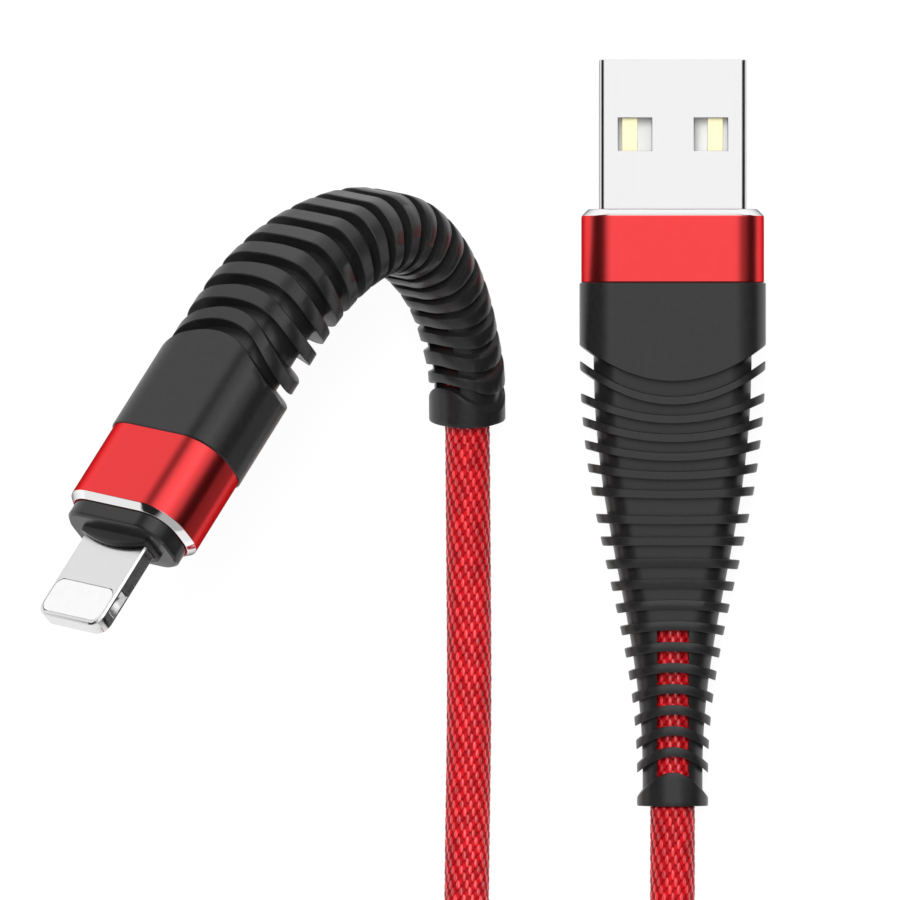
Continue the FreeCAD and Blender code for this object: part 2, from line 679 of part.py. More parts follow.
# The black cap that closes the phone plug's ring and carries the blade in a raised boss

def tip_cap():
    body = new_body("tip_cap")
    inside = "Sizes.tip_ring_%s - 2 * Sizes.tip_ring_wall - 2 * Sizes.play"
    outline = sketch_on(body, "XY_Plane", "Sizes.tip_blade_back")
    rounded_rectangle(outline, "cap", inside % "width", inside % "thickness",
                      "Sizes.tip_ring_corner - Sizes.tip_ring_wall - Sizes.play")
    first = pad(body, outline, "Sizes.tip_ring_length + Sizes.tip_cap_proud - Sizes.tip_blade_back")
    rim = body.newObject("PartDesign::Chamfer", "tip_cap_rim")
    rim.Base = (first, front_edges(first.Shape, size("tip_ring_length") + size("tip_cap_proud"), outer=True))
    rim.setExpression("Size", "Sizes.tip_cap_chamfer")
    doc.recompute()
    boss = sketch_on(body, "XY_Plane", "Sizes.tip_ring_length")
    rounded_rectangle(boss, "boss", "Sizes.tip_boss_width", "Sizes.tip_boss_thickness",
                      "Sizes.tip_boss_corner")
    pad(body, boss, "Sizes.tip_cap_proud + Sizes.tip_boss_proud")
    slot = sketch_on(body, "XY_Plane", "Sizes.tip_blade_front")
    rectangle(slot, "slot", "Sizes.tip_blade_width + 2 * Sizes.play",
              "Sizes.tip_blade_thickness + 2 * Sizes.play")
    pocket(body, slot, "Sizes.tip_blade_front")
    recess = sketch_on(body, "XY_Plane", "Sizes.tip_blade_back + Sizes.tip_flange_length + Sizes.play")
    rectangle(recess, "recess", "Sizes.tip_flange_width + 2 * Sizes.play",
              "Sizes.tip_flange_thickness + 2 * Sizes.play")
    pocket(body, recess, "Sizes.tip_blade_back")
    return body


# how far a block reaches past the cut that trims it
spare = 1.0


# Boots: a hollow core that tapers from grip to collar, crossed by bowed ribs.
# Distances along a boot are measured on its centre line from where ring meets boot.

def boot_runs(plug):
    """the stretches of a boot's centre line from the ring: the length of each, and its turn"""
    bend, neck = math.radians(size(plug + "_bend_turn")), math.radians(size(plug + "_neck_turn"))
    runs = [
        (size(plug + "_boot_straight"), 0), (size(plug + "_bend_radius") * bend, bend),
        (size(plug + "_boot_tail"), 0), (size(plug + "_neck_radius") * neck, neck),
        (size(plug + "_collar_run"), 0),
    ]
    return [(length, turn) for length, turn in runs if length > 0]


def boot_length(plug):
    return sum(length for length, turn in boot_runs(plug))


def station(plug, along):
    """the frame at a distance along the boot: z looks back to the plug, y is up from the bend"""
    low, back, heading = 0.0, 0.0, 0.0
    for length, turn in boot_runs(plug):
        run = min(along, length)
        along -= run
        after = heading + turn * run / length
        if turn:
            radius = length / turn
            low += radius * (math.cos(heading) - math.cos(after))
            back += radius * (math.sin(after) - math.sin(heading))
        else:
            low += run * math.sin(heading)
            back += run * math.cos(heading)
        heading = after
    return Placement(Vector(0, -low, -back), Rotation(Vector(1, 0, 0), -math.degrees(heading)))


def fullness(plug, along):
    """1 where the boot is as large as the grip, 0 at the collar, with a cosine between"""
    start, end = size(plug + "_taper_start"), size(plug + "_taper_end")
    share = min(max((along - start) / (end - start), 0), 1)
    return (1 + math.cos(math.pi * share)) / 2


def envelope(plug, along):
    """width, thickness and corner radius over the rib tips"""
    full = fullness(plug, along)
    collar = size(plug + "_collar_width")
    width = collar + (size(plug + "_boot_width") - collar) * full
    thickness = collar + (size(plug + "_boot_thickness") - collar) * full
    round_corner = (collar - size("collar_flat")) / 2
    corner = round_corner + (size(plug + "_boot_corner") - round_corner) * full
    return width, thickness, corner


def core_section(plug, along):
    """the same three sizes in the grooves between the ribs"""
    width, thickness, corner = envelope(plug, along)
    groove = size("groove_at_collar")
    groove += (size("groove_at_plug") - groove) * fullness(plug, along)
    return width - 2 * groove, thickness - 2 * groove, corner * (1 - 2 * groove / thickness)


def section_wire(width, thickness, corner, lift=0.0):
    """a closed rectangle across the boot, at a height along its z, with faceted round corners"""
    facets = int(size("corner_facets"))
    points = []
    for turn in range(4):
        across, up = (width / 2, thickness / 2) if turn % 2 == 0 else (thickness / 2, width / 2)
        quarter = Rotation(Vector(0, 0, 1), 90 * turn)
        for step in range(facets + 1):
            angle = math.radians(90 * step / facets)
            x = across - corner * (1 - math.cos(angle))
            y = up - corner * (1 - math.sin(angle))
            points.append(quarter.multVec(Vector(x, y, lift)))
    return Part.makePolygon(points + points[:1])


def prism(width, thickness, corner, low, high):
    """a straight block of rounded section between two heights"""
    face = Part.Face(section_wire(width, thickness, corner, low))
    return face.extrude(Vector(0, 0, high - low))


def bowed_band(half_width, thickness, top, bottom):
    """a plate seen in plan between two bows, each given as its height at the sides and in the middle"""
    facets = int(size("bow_facets"))
    shares = [-size("bow_overrun") + step * 2 * size("bow_overrun") / facets for step in range(facets + 1)]
    outline = []
    for (side, middle), way in ((top, 1), (bottom, -1)):
        for share in shares[::way]:
            height = middle + (side - middle) * share ** 2
            outline.append(Vector(half_width * share, -thickness, height))
    face = Part.Face(Part.makePolygon(outline + outline[:1]))
    return face.extrude(Vector(0, 2 * thickness, 0))


def bowed_plate(plug, along, top, bottom):
    """the envelope's section at a place on the boot, cut to a bowed band there"""
    width, thickness, corner = envelope(plug, along)
    heights = top + bottom
    block = prism(width, thickness, corner, min(heights) - spare, max(heights) + spare)
    band = bowed_band(width / 2, thickness, top, bottom)
    plate = block.common(band)
    return placed(plate, station(plug, along))


def placed(shape, placement):
    moved = shape.copy()
    moved.Placement = placement.multiply(moved.Placement)
    return moved


def rib_places(plug):
    """the middle of each rib along the boot: a close group by the plug, then an even row to the collar"""
    near_count = int(size("near_rib_count"))
    far_gaps = int(size("rib_count")) - near_count - 1
    first, far, last = size(plug + "_first_rib"), size(plug + "_far_rib"), size(plug + "_last_rib")
    near = [first + size(plug + "_near_pitch") * number for number in range(near_count)]
    return near + [far + (last - far) * number / far_gaps for number in range(far_gaps + 1)]


def rib_bow(share):
    """how far a rib's middle lies nearer to the cord than its sides, from the first rib to the last"""
    near_plug = size("rib_bow_plug") * (1 - share) ** size("rib_bow_plug_power")
    return near_plug - size("rib_bow_collar") * share ** size("rib_bow_collar_power")


def boot_ribs(plug):
    half = size(plug + "_rib_thickness") / 2
    places = rib_places(plug)
    ribs = []
    for number, along in enumerate(places):
        bow = rib_bow(number / (len(places) - 1))
        ribs.append(bowed_plate(plug, along, (bow + half, half), (bow - half, -half)))
    return ribs


def boot_grip(plug):
    middle, side = size(plug + "_grip_middle"), size(plug + "_grip_side")
    proud = size(plug + "_grip_proud")
    width, thickness, corner = (value + 2 * proud for value in envelope(plug, 0))
    block = prism(width, thickness, corner - proud, -middle, 0)
    band = bowed_band(width / 2, thickness, (spare, spare), (-side, -middle))
    return block.common(band)


def boot_collar(plug):
    middle, side = size(plug + "_collar_middle"), size(plug + "_collar_side")
    end = boot_length(plug)
    width, thickness, corner = envelope(plug, end)
    block = prism(width, thickness, corner, 0, middle)
    band = bowed_band(width / 2, thickness, (side, middle), (-spare, -spare))
    return placed(block.common(band), station(plug, end))


def boot_core(plug):
    """a length of core for each groove, with its joins hidden in the ribs, open at the windows"""
    end = boot_length(plug)
    places = [size(plug + "_grip_side") / 2] + rib_places(plug) + [end - size(plug + "_collar_side") / 2]
    first_window = len(places) - 1 - int(size("window_count"))
    lengths = []
    for number, (low, high) in enumerate(zip(places[:-1], places[1:])):
        middle = (low + high) / 2
        half = (high - low) / 2
        width, thickness, corner = core_section(plug, middle)
        groove = prism(width, thickness, corner, -half, half)
        if number >= first_window:
            groove = groove.cut(Part.makeBox(size("window_width"), 2 * thickness, 4 * half,
                                             Vector(-size("window_width") / 2, -thickness, -2 * half)))
        lengths.append(placed(groove, station(plug, middle)))
    return lengths


def boot_centre_line(plug, start):
    """the boot's centre line from a distance along it to its end, as straight runs and arcs"""
    edges = []
    before = 0.0
    for length, turn in boot_runs(plug):
        first, last = max(before, start), before + length
        points = [station(plug, along).Base for along in (first, (first + last) / 2, last)]
        edge = Part.Arc(*points) if turn else Part.LineSegment(points[0], points[-1])
        edges.append(edge.toShape())
        before = last
    return edges


def tube(edges, diameter, sides):
    """a rod of even-sided section along a path of tangent edges, with one flat underneath"""
    path = Part.Wire(edges)
    first = path.OrderedEdges[0]
    start = first.valueAt(first.FirstParameter)
    along = first.tangentAt(first.FirstParameter)
    if first.Orientation == "Reversed":
        start, along = first.valueAt(first.LastParameter), first.tangentAt(first.LastParameter) * -1
    upright = Vector(0, 1, 0) if abs(along.z) > abs(along.y) else Vector(0, 0, 1)
    across = along.cross(upright).normalize()
    up = across.cross(along)
    corners = []
    for number in range(sides + 1):
        angle = 2 * math.pi * (number + 0.5) / sides
        corners.append(start + (across * math.sin(angle) + up * math.cos(angle)) * (diameter / 2))
    return path.makePipeShell([Part.makePolygon(corners)], True, False)


def section_area(diameter, sides):
    return sides / 2 * (diameter / 2) ** 2 * math.sin(2 * math.pi / sides)


def boot_hollow(plug):
    """room for the inner mould, and the cord's bore from there to the collar"""
    slack = 2 * size("play")
    inside = 2 * size(plug + "_ring_wall")
    ring_corner = (size(plug + "_ring_corner") - size(plug + "_ring_wall")) * size("seat_corner_share")
    shoulder = size(plug + "_mould_shoulder") + size("play")
    back = size(plug + "_mould_back") + size("play")
    main = prism(size(plug + "_ring_width") - inside, size(plug + "_ring_thickness") - inside,
                 ring_corner, -shoulder, 0)
    tail = prism(size(plug + "_mould_tail_width") + slack, size(plug + "_mould_tail_height") + slack,
                 size(plug + "_mould_corner") * size("seat_corner_share"), -back, 0)
    bore = tube(boot_centre_line(plug, size(plug + "_cord_stop")),
                size("cord_diameter") + 2 * size("bore_play"), int(size("cord_sides")))
    return [main, tail, bore]


def boot(plug):
    body = boot_grip(plug).fuse(boot_core(plug) + boot_ribs(plug) + [boot_collar(plug)])
    return solid_of(plug + "_boot", body.cut(boot_hollow(plug)))


def cord_end(plug):
    """the cord's last stretch, inside the boot"""
    line = boot_centre_line(plug, size(plug + "_cord_stop"))
    return solid_of(plug + "_cord_end", tube(line, size("cord_diameter"), int(size("cord_sides"))))


# Four insulated wires from each plug's contacts or board to the end of the cord

wire_colours = ["red", "white", "green", "black"]


# the share of the shorter run that an arc takes at a corner of a route
arc_share = 0.45


def rounded_route(points):
    """straight runs joined by tangent arcs, each arc as large as its two runs allow"""
    edges = []
    radii = []
    start = points[0]
    for before, corner, after in zip(points[:-2], points[1:-1], points[2:]):
        inward, outward = (corner - before), (after - corner)
        turn = inward.getAngle(outward)
        cut = arc_share * min(inward.Length, outward.Length)
        radii.append(cut / math.tan(turn / 2))
        arc_start = corner - inward.normalize() * cut
        arc_end = corner + outward.normalize() * cut
        towards = (outward - inward).normalize()
        middle = corner + towards * radii[-1] * (1 / math.cos(turn / 2) - 1)
        edges.append(Part.LineSegment(start, arc_start).toShape())
        edges.append(Part.Arc(arc_start, middle, arc_end).toShape())
        start = arc_end
    edges.append(Part.LineSegment(start, points[-1]).toShape())
    return edges, radii


def plug_wires(plug, starts, begin):
    """each wire leaves its own pad straight, closes in on the others and ends on the cord's face"""
    spread = size("wire_spread")
    stop = size(plug + "_cord_stop")
    run = (stop - begin) * size("wire_run_share")
    corners = [(-spread, -spread), (-spread, spread), (spread, spread), (spread, -spread)]
    for colour, (x, y), (end_x, end_y) in zip(wire_colours, starts, corners):
        points = [Vector(x, y, -begin), Vector(x, y, -begin - run),
                  Vector(end_x, end_y, -stop + run), Vector(end_x, end_y, -stop)]
        edges, radii = rounded_route(points)
        solid_of("%s_wire_%s" % (plug, colour), tube(edges, size("wire_diameter"), int(size("wire_sides"))))


def usb_wires():
    tail_middle = (-size("usb_shell_height") / 2 + size("usb_sheet") + size("usb_tongue_thickness")
                   + size("usb_contact_proud") - size("usb_contact_thickness") / 2)
    outer, inner = size("usb_outer_contact_x"), size("usb_inner_contact_x")
    starts = [(-outer, tail_middle), (-inner, tail_middle), (inner, tail_middle), (outer, tail_middle)]
    plug_wires("usb", starts, size("usb_tail_length") - size("usb_shell_back"))


def tip_wires():
    middle = (len(wire_colours) - 1) / 2
    starts = [((number - middle) * size("tip_wire_pitch"), 0) for number in range(len(wire_colours))]
    plug_wires("tip", starts, size("tip_board_back"))


# The cord between the plugs: a lead from each boot, and a coil in two layers between the leads

def coil_centre():
    return Vector(size("coil_x"), size("coil_y"), 0)


def coil_low():
    """the height of the lower layer's centre line, which lies on the ties"""
    return size("tie_thickness") + size("tie_play") + size("cord_diameter") / 2


def coil_pitch():
    return size("cord_diameter") + size("coil_gap")


def coil_turn():
    """the coil's whole turn in degrees, from the USB-A lead to the phone plug's lead"""
    return 90 * size("coil_quarters") + 2 * size("coil_splay")


def coil_point(turned):
    """where the coil's centre line is after turning so far, and which way it runs there"""
    whole = coil_turn()
    inward = min(turned, whole - turned)
    radius = size("coil_outer_radius") - coil_pitch() * inward / 360
    angle = math.radians(size("coil_splay") - turned)
    climb = min(max((turned - whole / 2) / 180 + 0.5, 0), 1)
    point = coil_centre() + Vector(radius * math.cos(angle), radius * math.sin(angle),
                                   coil_low() + coil_pitch() * climb)
    if 0 < turned < whole:
        drift = 0 if abs(turned - whole / 2) < 1e-6 else math.copysign(coil_pitch() / 360, turned - whole / 2)
        rise = coil_pitch() / 180 if abs(turned - whole / 2) < 90 else 0
        per_degree = math.radians(1)
        way = Vector(radius * math.sin(angle) * per_degree + drift * math.cos(angle),
                     -radius * math.cos(angle) * per_degree + drift * math.sin(angle), rise)
    else:
        way = Vector(math.sin(angle), -math.cos(angle), 0)
    return point, way.normalize()


def two_arcs(start, start_way, end, end_way):
    """a pair of arcs that leave one point and reach the next along given directions"""
    across = end - start
    ways = start_way + end_way
    a = 2 * (1 - start_way.dot(end_way))
    b = 2 * across.dot(ways)
    reach = (-b + math.sqrt(b * b + 4 * a * across.dot(across))) / (2 * a)
    first_corner = start + start_way * reach
    last_corner = end - end_way * reach
    joint = (first_corner + last_corner) * 0.5
    return [arc_by_corner(start, first_corner, joint), arc_by_corner(joint, last_corner, end)]


def arc_by_corner(start, corner, end):
    middle = (start + end) * 0.5
    half_chord = (end - start).Length / 2
    towards = corner - middle
    half_angle = math.atan2(towards.Length, half_chord)
    bulge = towards.normalize() * half_chord * math.tan(half_angle / 2)
    return Part.Arc(start, middle + bulge, end).toShape()


def coil_stops():
    """the turns at which the coil's arcs meet: both ends and every quarter from the middle out"""
    middle = coil_turn() / 2
    quarters = int(size("coil_quarters")) // 2
    inner = [middle + 90 * number for number in range(-quarters, quarters + 1)]
    return [0.0] + inner + [coil_turn()]


def coil_ends():
    """where the coil's straight end runs meet the two leads"""
    run = size("coil_end_run")
    first, first_way = coil_point(0.0)
    last, last_way = coil_point(coil_turn())
    return first - first_way * run, last + last_way * run


def coil_path():
    stops = [coil_point(turned) for turned in coil_stops()]
    entry, leave = coil_ends()
    edges = [Part.LineSegment(entry, stops[0][0]).toShape()]
    for (start, start_way), (end, end_way) in zip(stops[:-1], stops[1:]):
        edges += two_arcs(start, start_way, end, end_way)
    edges.append(Part.LineSegment(stops[-1][0], leave).toShape())
    return edges


def least_gap(edges, diameter):
    """the smallest gap between parts of the coil that lie more than half a turn apart along it"""
    steps = int(size("gap_steps"))
    points = []
    for edge in edges:
        first, last = edge.ParameterRange
        points += [edge.valueAt(first + (last - first) * step / steps) for step in range(steps)]
    skip = int(len(points) * size("gap_skip_turn") * 360 / coil_turn())
    return min(
        (points[one] - points[other]).Length
        for one in range(len(points)) for other in range(one + skip, len(points))
    ) - diameter


# The leads' points, chosen by hand from boot to coil, between a square run at each end
usb_lead_points = [Vector(0.0, -58.0, 2.8)]
tip_lead_points = [Vector(-16.6, -34.0, 1.95), Vector(-16.8, -46.5, 2.05), Vector(-16.9, -58.0, 4.4)]


def cord_lead(label, place, plug, points, end, end_way):
    collar = place.multiply(station(plug, boot_length(plug)))
    start = collar.Base
    first = start - collar.Rotation.multVec(Vector(0, 0, size(plug + "_lead_first_run")))
    last = end + end_way * size("lead_last_run")
    route = [start, first] + points + [last, end]
    edges, radii = rounded_route(route)
    print(label, "route", [(round(point.x, 2), round(point.y, 2), round(point.z, 2)) for point in route])
    sides = int(size("cord_sides"))
    piece = solid_of(label, tube(edges, size("cord_diameter"), sides))
    length = sum(edge.Length for edge in edges)
    section = section_area(size("cord_diameter"), sides)
    print(label, "length", round(length, 1), "radii", [round(radius, 1) for radius in radii],
          "volume over section times length", round(piece.Shape.Volume / section / length, 4))
    return length


def cord_between_plugs():
    entry, leave = coil_ends()
    inward, outward = coil_point(0.0)[1], coil_point(coil_turn())[1]
    usb = cord_lead("cord_usb_lead", usb_place, "usb", usb_lead_points, entry, inward * -1)
    tip = cord_lead("cord_tip_lead", tip_place, "tip", tip_lead_points, leave, outward)
    path = coil_path()
    sides = int(size("cord_sides"))
    coil = solid_of("cord_coil", tube(path, size("cord_diameter"), sides))
    length = sum(edge.Length for edge in path)
    section = section_area(size("cord_diameter"), sides)
    print("cord_coil length", round(length, 1), "least gap", round(least_gap(path, size("cord_diameter")), 3),
          "volume over section times length", round(coil.Shape.Volume / section / length, 4))
    print("cord and boots together", round(usb + tip + length + boot_length("usb") + boot_length("tip"), 1))


# Two straps of hook and loop tape round the coil, one on each side

def tie_reach(angle):
    """the smallest and largest radius of the coil's centre line where it passes an angle"""
    first = (size("coil_splay") - angle) % 360
    passes = int((coil_turn() - first) // 360) + 1
    rays = [coil_point(first + 360 * number)[0] - coil_centre() for number in range(passes)]
    radii = [math.hypot(ray.x, ray.y) for ray in rays]
    drift = coil_pitch() * math.degrees(size("tie_width") / 2 / min(radii)) / 360
    return min(radii) - drift, max(radii) + drift


def coil_tie(label, angle):
    low, high = tie_reach(angle)
    half_cord, play = size("cord_diameter") / 2, size("tie_play")
    inner = math.sqrt((low - half_cord) ** 2 - (size("tie_width") / 2) ** 2) - play
    outer = high + half_cord + play
    width = outer - inner
    height = coil_pitch() + size("cord_diameter") + 2 * play
    sheet_gauge, corner, half_strap = size("tie_thickness"), size("tie_corner"), size("tie_width") / 2
    strap = prism(width + 2 * sheet_gauge, height + 2 * sheet_gauge, corner + sheet_gauge,
                  -half_strap, half_strap)
    strap = strap.cut(prism(width, height, corner, -half_strap - spare, half_strap + spare))
    outward = Rotation(Vector(0, 0, 1), angle)
    middle = coil_centre() + outward.multVec(Vector((inner + outer) / 2, 0, sheet_gauge + height / 2))
    return solid_of(label, placed(strap, Placement(middle, outward * Rotation(Vector(1, 0, 0), 90))))


# Build every piece in its plug's frame, then put both plugs in their places

def build_usb_plug():
    usb_shell()
    usb_insulator()
    usb_contacts()
    usb_ring()
    usb_inner_mould()
    usb_wires()
    cord_clamp("usb")
    boot("usb")
    cord_end("usb")


def build_tip_plug():
    tip_blade()
    tip_insert()
    tip_pads()
    tip_board()
    tip_controller()
    tip_shield()
    tip_cap()
    tip_ring()
    inner_mould("tip", tip_mould_front)
    tip_wires()
    cord_clamp("tip")
    boot("tip")
    cord_end("tip")


def build_cord():
    cord_between_plugs()
    coil_tie("coil_tie_left", 180)
    coil_tie("coil_tie_right", 0)


build_usb_plug()
usb_pieces = list(nodes)
build_tip_plug()
tip_pieces = nodes[len(usb_pieces):]
doc.recompute()
for pieces, place in ((usb_pieces, usb_place), (tip_pieces, tip_place)):
    for piece in pieces:
        piece.Placement = place.multiply(piece.Placement)
build_cord()
doc.recompute()

for thing in doc.Objects:
    if "Invalid" in thing.State or "Error" in thing.State:
        raise ValueError("%s did not build: %s" % (thing.Label, thing.State))
for piece in nodes:
    if piece.Shape.isNull() or not piece.Shape.isValid():
        raise ValueError("%s has no valid shape" % piece.Label)

os.makedirs("parts", exist_ok=True)
for piece in nodes:
    piece.Shape.exportStep("parts/%s.step" % piece.Label)
    print(piece.Label, "volume", round(piece.Shape.Volume, 2), "solids", len(piece.Shape.Solids))
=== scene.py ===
import json
import math

import bmesh
import bpy
import numpy as np
from mathutils import Matrix, Vector


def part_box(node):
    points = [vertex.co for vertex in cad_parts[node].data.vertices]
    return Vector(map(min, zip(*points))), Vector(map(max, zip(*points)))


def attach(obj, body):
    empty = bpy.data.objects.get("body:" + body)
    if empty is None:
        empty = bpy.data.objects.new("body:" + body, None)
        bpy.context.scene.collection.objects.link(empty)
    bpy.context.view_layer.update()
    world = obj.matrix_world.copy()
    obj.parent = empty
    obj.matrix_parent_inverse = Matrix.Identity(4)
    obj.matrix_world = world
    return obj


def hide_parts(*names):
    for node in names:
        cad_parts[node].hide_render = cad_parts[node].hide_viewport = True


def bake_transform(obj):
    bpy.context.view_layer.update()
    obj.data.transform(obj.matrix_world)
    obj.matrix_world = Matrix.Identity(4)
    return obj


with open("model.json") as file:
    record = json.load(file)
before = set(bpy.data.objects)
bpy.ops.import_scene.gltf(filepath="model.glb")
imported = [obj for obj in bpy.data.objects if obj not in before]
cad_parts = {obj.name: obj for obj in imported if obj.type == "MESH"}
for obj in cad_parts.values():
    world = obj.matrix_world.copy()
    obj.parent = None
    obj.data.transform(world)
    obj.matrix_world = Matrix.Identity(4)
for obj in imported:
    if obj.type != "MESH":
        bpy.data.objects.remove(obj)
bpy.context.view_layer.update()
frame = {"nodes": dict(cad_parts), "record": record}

# Charging cable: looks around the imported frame. The cord's route, the coil and the studio are in metres;
# the braid, the boots, the plugs and the straps are in millimetres.

mm = 0.001
print("stage: frame loaded,", len(frame["nodes"]), "nodes")


# Mesh helpers

def addObject(name, data):
    # a named object in the scene, unturned and unscaled
    piece = bpy.data.objects.new(name, data)
    bpy.context.scene.collection.objects.link(piece)
    return piece


def gridMesh(name, points, u, v, material, sharpAngle=40):
    # surface through a grid of points whose columns close on themselves, with a flat cap over its first and
    # last rows; the sign of its volume, the sum of (a x b) . c over its triangles, turns it outwards
    rows, columns = points.shape[:2]
    index = np.arange(rows * columns).reshape(rows, columns)
    onward = np.roll(index, -1, axis=1)
    quads = np.stack([index[:-1], onward[:-1], onward[1:], index[1:]], axis=-1).reshape(-1, 4)
    uEdge = np.append(u, 1.0)
    uLow = np.broadcast_to(uEdge[None, :-1], (rows - 1, columns))
    uHigh = np.broadcast_to(uEdge[None, 1:], (rows - 1, columns))
    vLow = np.broadcast_to(v[:-1, None], (rows - 1, columns))
    vHigh = np.broadcast_to(v[1:, None], (rows - 1, columns))
    uvs = np.stack([np.stack([uLow, uHigh, uHigh, uLow], -1), np.stack([vLow, vLow, vHigh, vHigh], -1)], -1)
    uvs = uvs.reshape(-1, 4, 2)
    flat = points.reshape(-1, 3)
    a, b, c, d = (flat[quads[:, k]] - flat.mean(axis=0) for k in range(4))
    volume = np.einsum("ij,ij->", np.cross(a, b), c) + np.einsum("ij,ij->", np.cross(a, c), d)
    caps = [index[0, ::-1], index[-1]]
    capUvs = [np.stack([u, np.full(columns, v[0])], -1)[::-1], np.stack([u, np.full(columns, v[-1])], -1)]
    if volume < 0:
        quads, uvs = quads[:, ::-1], uvs[:, ::-1]
        caps, capUvs = [cap[::-1] for cap in caps], [cap[::-1] for cap in capUvs]
    corners = np.concatenate([quads.ravel(), *caps]).astype(np.int32)
    starts = np.append(np.arange(0, quads.size, 4), [quads.size, quads.size + columns]).astype(np.int32)
    mesh = bpy.data.meshes.new(name)
    mesh.vertices.add(len(flat))
    mesh.vertices.foreach_set("co", flat.astype(np.float32).ravel())
    mesh.loops.add(len(corners))
    mesh.loops.foreach_set("vertex_index", corners)
    mesh.polygons.add(len(starts))
    mesh.polygons.foreach_set("loop_start", starts)
    mesh.polygons.foreach_set("use_smooth", np.ones(len(starts), dtype=bool))
    mesh.update(calc_edges=True)
    layer = mesh.uv_layers.new(name="lay")
    layer.data.foreach_set("uv", np.concatenate([uvs.reshape(-1, 2), *capUvs]).astype(np.float32).ravel())
    mesh.set_sharp_from_angle(angle=math.radians(sharpAngle))
    mesh.materials.append(material)
    return addObject(name, mesh)


# Material helpers

def newMaterial(name, colour, roughness, metallic=0.0, **sockets):
    # sets the shader's sockets; further ones by their names, with low lines for spaces
    material = bpy.data.materials.new(name)
    material.use_nodes = True
    shader = material.node_tree.nodes["Principled BSDF"]
    shader.inputs["Base Color"].default_value = (*colour, 1)
    shader.inputs["Roughness"].default_value = roughness
    shader.inputs["Metallic"].default_value = metallic
    for socket, value in sockets.items():
        shader.inputs[socket.replace("_", " ")].default_value = value
    return material, material.node_tree, shader


def addNode(tree, kind, **values):
    # adds a node; keys are socket names or numbers as text, or the node's own properties
    node = tree.nodes.new(kind)
    for key, value in values.items():
        if hasattr(node, key):
            setattr(node, key, value)
        else:
            node.inputs[key.replace("_", " ")].default_value = value
    return node


def mathNode(tree, operation, first, second=None, third=None):
    # one operation on numbers or sockets
    node = tree.nodes.new("ShaderNodeMath")
    node.operation = operation
    for socket, value in zip(node.inputs, (first, second, third)):
        if value is None:
            continue
        if isinstance(value, (int, float)):
            socket.default_value = value
        else:
            tree.links.new(value, socket)
    return node.outputs[0]


def spreadNode(tree, value, low, high, fromLow=0.0, fromHigh=1.0):
    # carries a value from one range to another in a straight line
    spread = addNode(tree, "ShaderNodeMapRange")
    spread.inputs["From Min"].default_value, spread.inputs["From Max"].default_value = fromLow, fromHigh
    spread.inputs["To Min"].default_value, spread.inputs["To Max"].default_value = low, high
    tree.links.new(value, spread.inputs["Value"])
    return spread.outputs[0]


def rampNode(tree, value, first, last, middle=()):
    # blends between colours at rising positions
    ramp = addNode(tree, "ShaderNodeValToRGB")
    elements = ramp.color_ramp.elements
    for element, (position, colour) in zip(elements, (first, last)):
        element.position, element.color = position, (*colour, 1)
    for position, colour in middle:
        elements.new(position).color = (*colour, 1)
    tree.links.new(value, ramp.inputs["Fac"])
    return ramp.outputs["Color"]


def liftNode(tree, shader, height, strength, distance):
    # tilts the surface's normals as the height would
    lift = addNode(tree, "ShaderNodeBump", Strength=strength, Distance=distance)
    tree.links.new(height, lift.inputs["Height"])
    tree.links.new(lift.outputs[0], shader.inputs["Normal"])


def layPlace(tree):
    # the lay map, and from it how far round the piece and how far along it
    lay = addNode(tree, "ShaderNodeUVMap", uv_map="lay")
    split = addNode(tree, "ShaderNodeSeparateXYZ")
    tree.links.new(lay.outputs[0], split.inputs[0])
    return lay.outputs[0], split.outputs[0], split.outputs[1]


def grain(tree, shader, scale, roughness, bumpHeight, stretch=(1, 1, 1), tint=None):
    # noise on object coordinates that moves the roughness between two values, lifts the surface and tints it
    place = addNode(tree, "ShaderNodeTexCoord")
    mapping = addNode(tree, "ShaderNodeMapping", Scale=tuple(scale * part for part in stretch))
    noise = addNode(tree, "ShaderNodeTexNoise", Scale=1.0, Detail=4.0)
    tree.links.new(place.outputs["Object"], mapping.inputs["Vector"])
    tree.links.new(mapping.outputs[0], noise.inputs["Vector"])
    tree.links.new(spreadNode(tree, noise.outputs["Fac"], *roughness), shader.inputs["Roughness"])
    liftNode(tree, shader, noise.outputs["Fac"], 1.0, bumpHeight)
    if tint:
        colour = rampNode(tree, noise.outputs["Fac"], (0.3, tint[0]), (0.7, tint[1]))
        tree.links.new(colour, shader.inputs["Base Color"])


# Plug frames: z towards the tip, x across the wide face, y through the thickness, as the solids are drawn

usbOrigin = np.array([0.0, 0.0, 4.15])
usbAxes = np.array([[-1.0, 0.0, 0.0], [0.0, 0.0, 1.0], [0.0, 1.0, 0.0]])   # rows: across, through, along
tipPlace = {"place": (-40.1, -14.1, 30.83), "heading": 238.4, "rise": 22.1, "roll": 43.6}


def turnAbout(axis, degrees):
    # the matrix that turns a point round an axis
    return np.array(Matrix.Rotation(math.radians(degrees), 3, axis))


tipTurn = (turnAbout("Z", tipPlace["heading"] - 90) @ turnAbout("X", tipPlace["rise"])
           @ turnAbout("Y", tipPlace["roll"]))
tipOrigin = np.array(tipPlace["place"])
tipAxes = (tipTurn @ usbAxes.T).T


def localPlace(tree, origin, axes):
    # a mapping node that reads world places as distances along a plug's own axes
    place = addNode(tree, "ShaderNodeTexCoord")
    mapping = addNode(tree, "ShaderNodeMapping")
    mapping.inputs["Rotation"].default_value = Matrix(axes.tolist()).to_euler()
    mapping.inputs["Location"].default_value = Vector(axes @ -origin) * mm
    split = addNode(tree, "ShaderNodeSeparateXYZ")
    tree.links.new(place.outputs["Object"], mapping.inputs["Vector"])
    tree.links.new(mapping.outputs[0], split.inputs[0])
    return split


# Cord: real length of 0.906 m from boot to boot, 3.7 mm over the braid

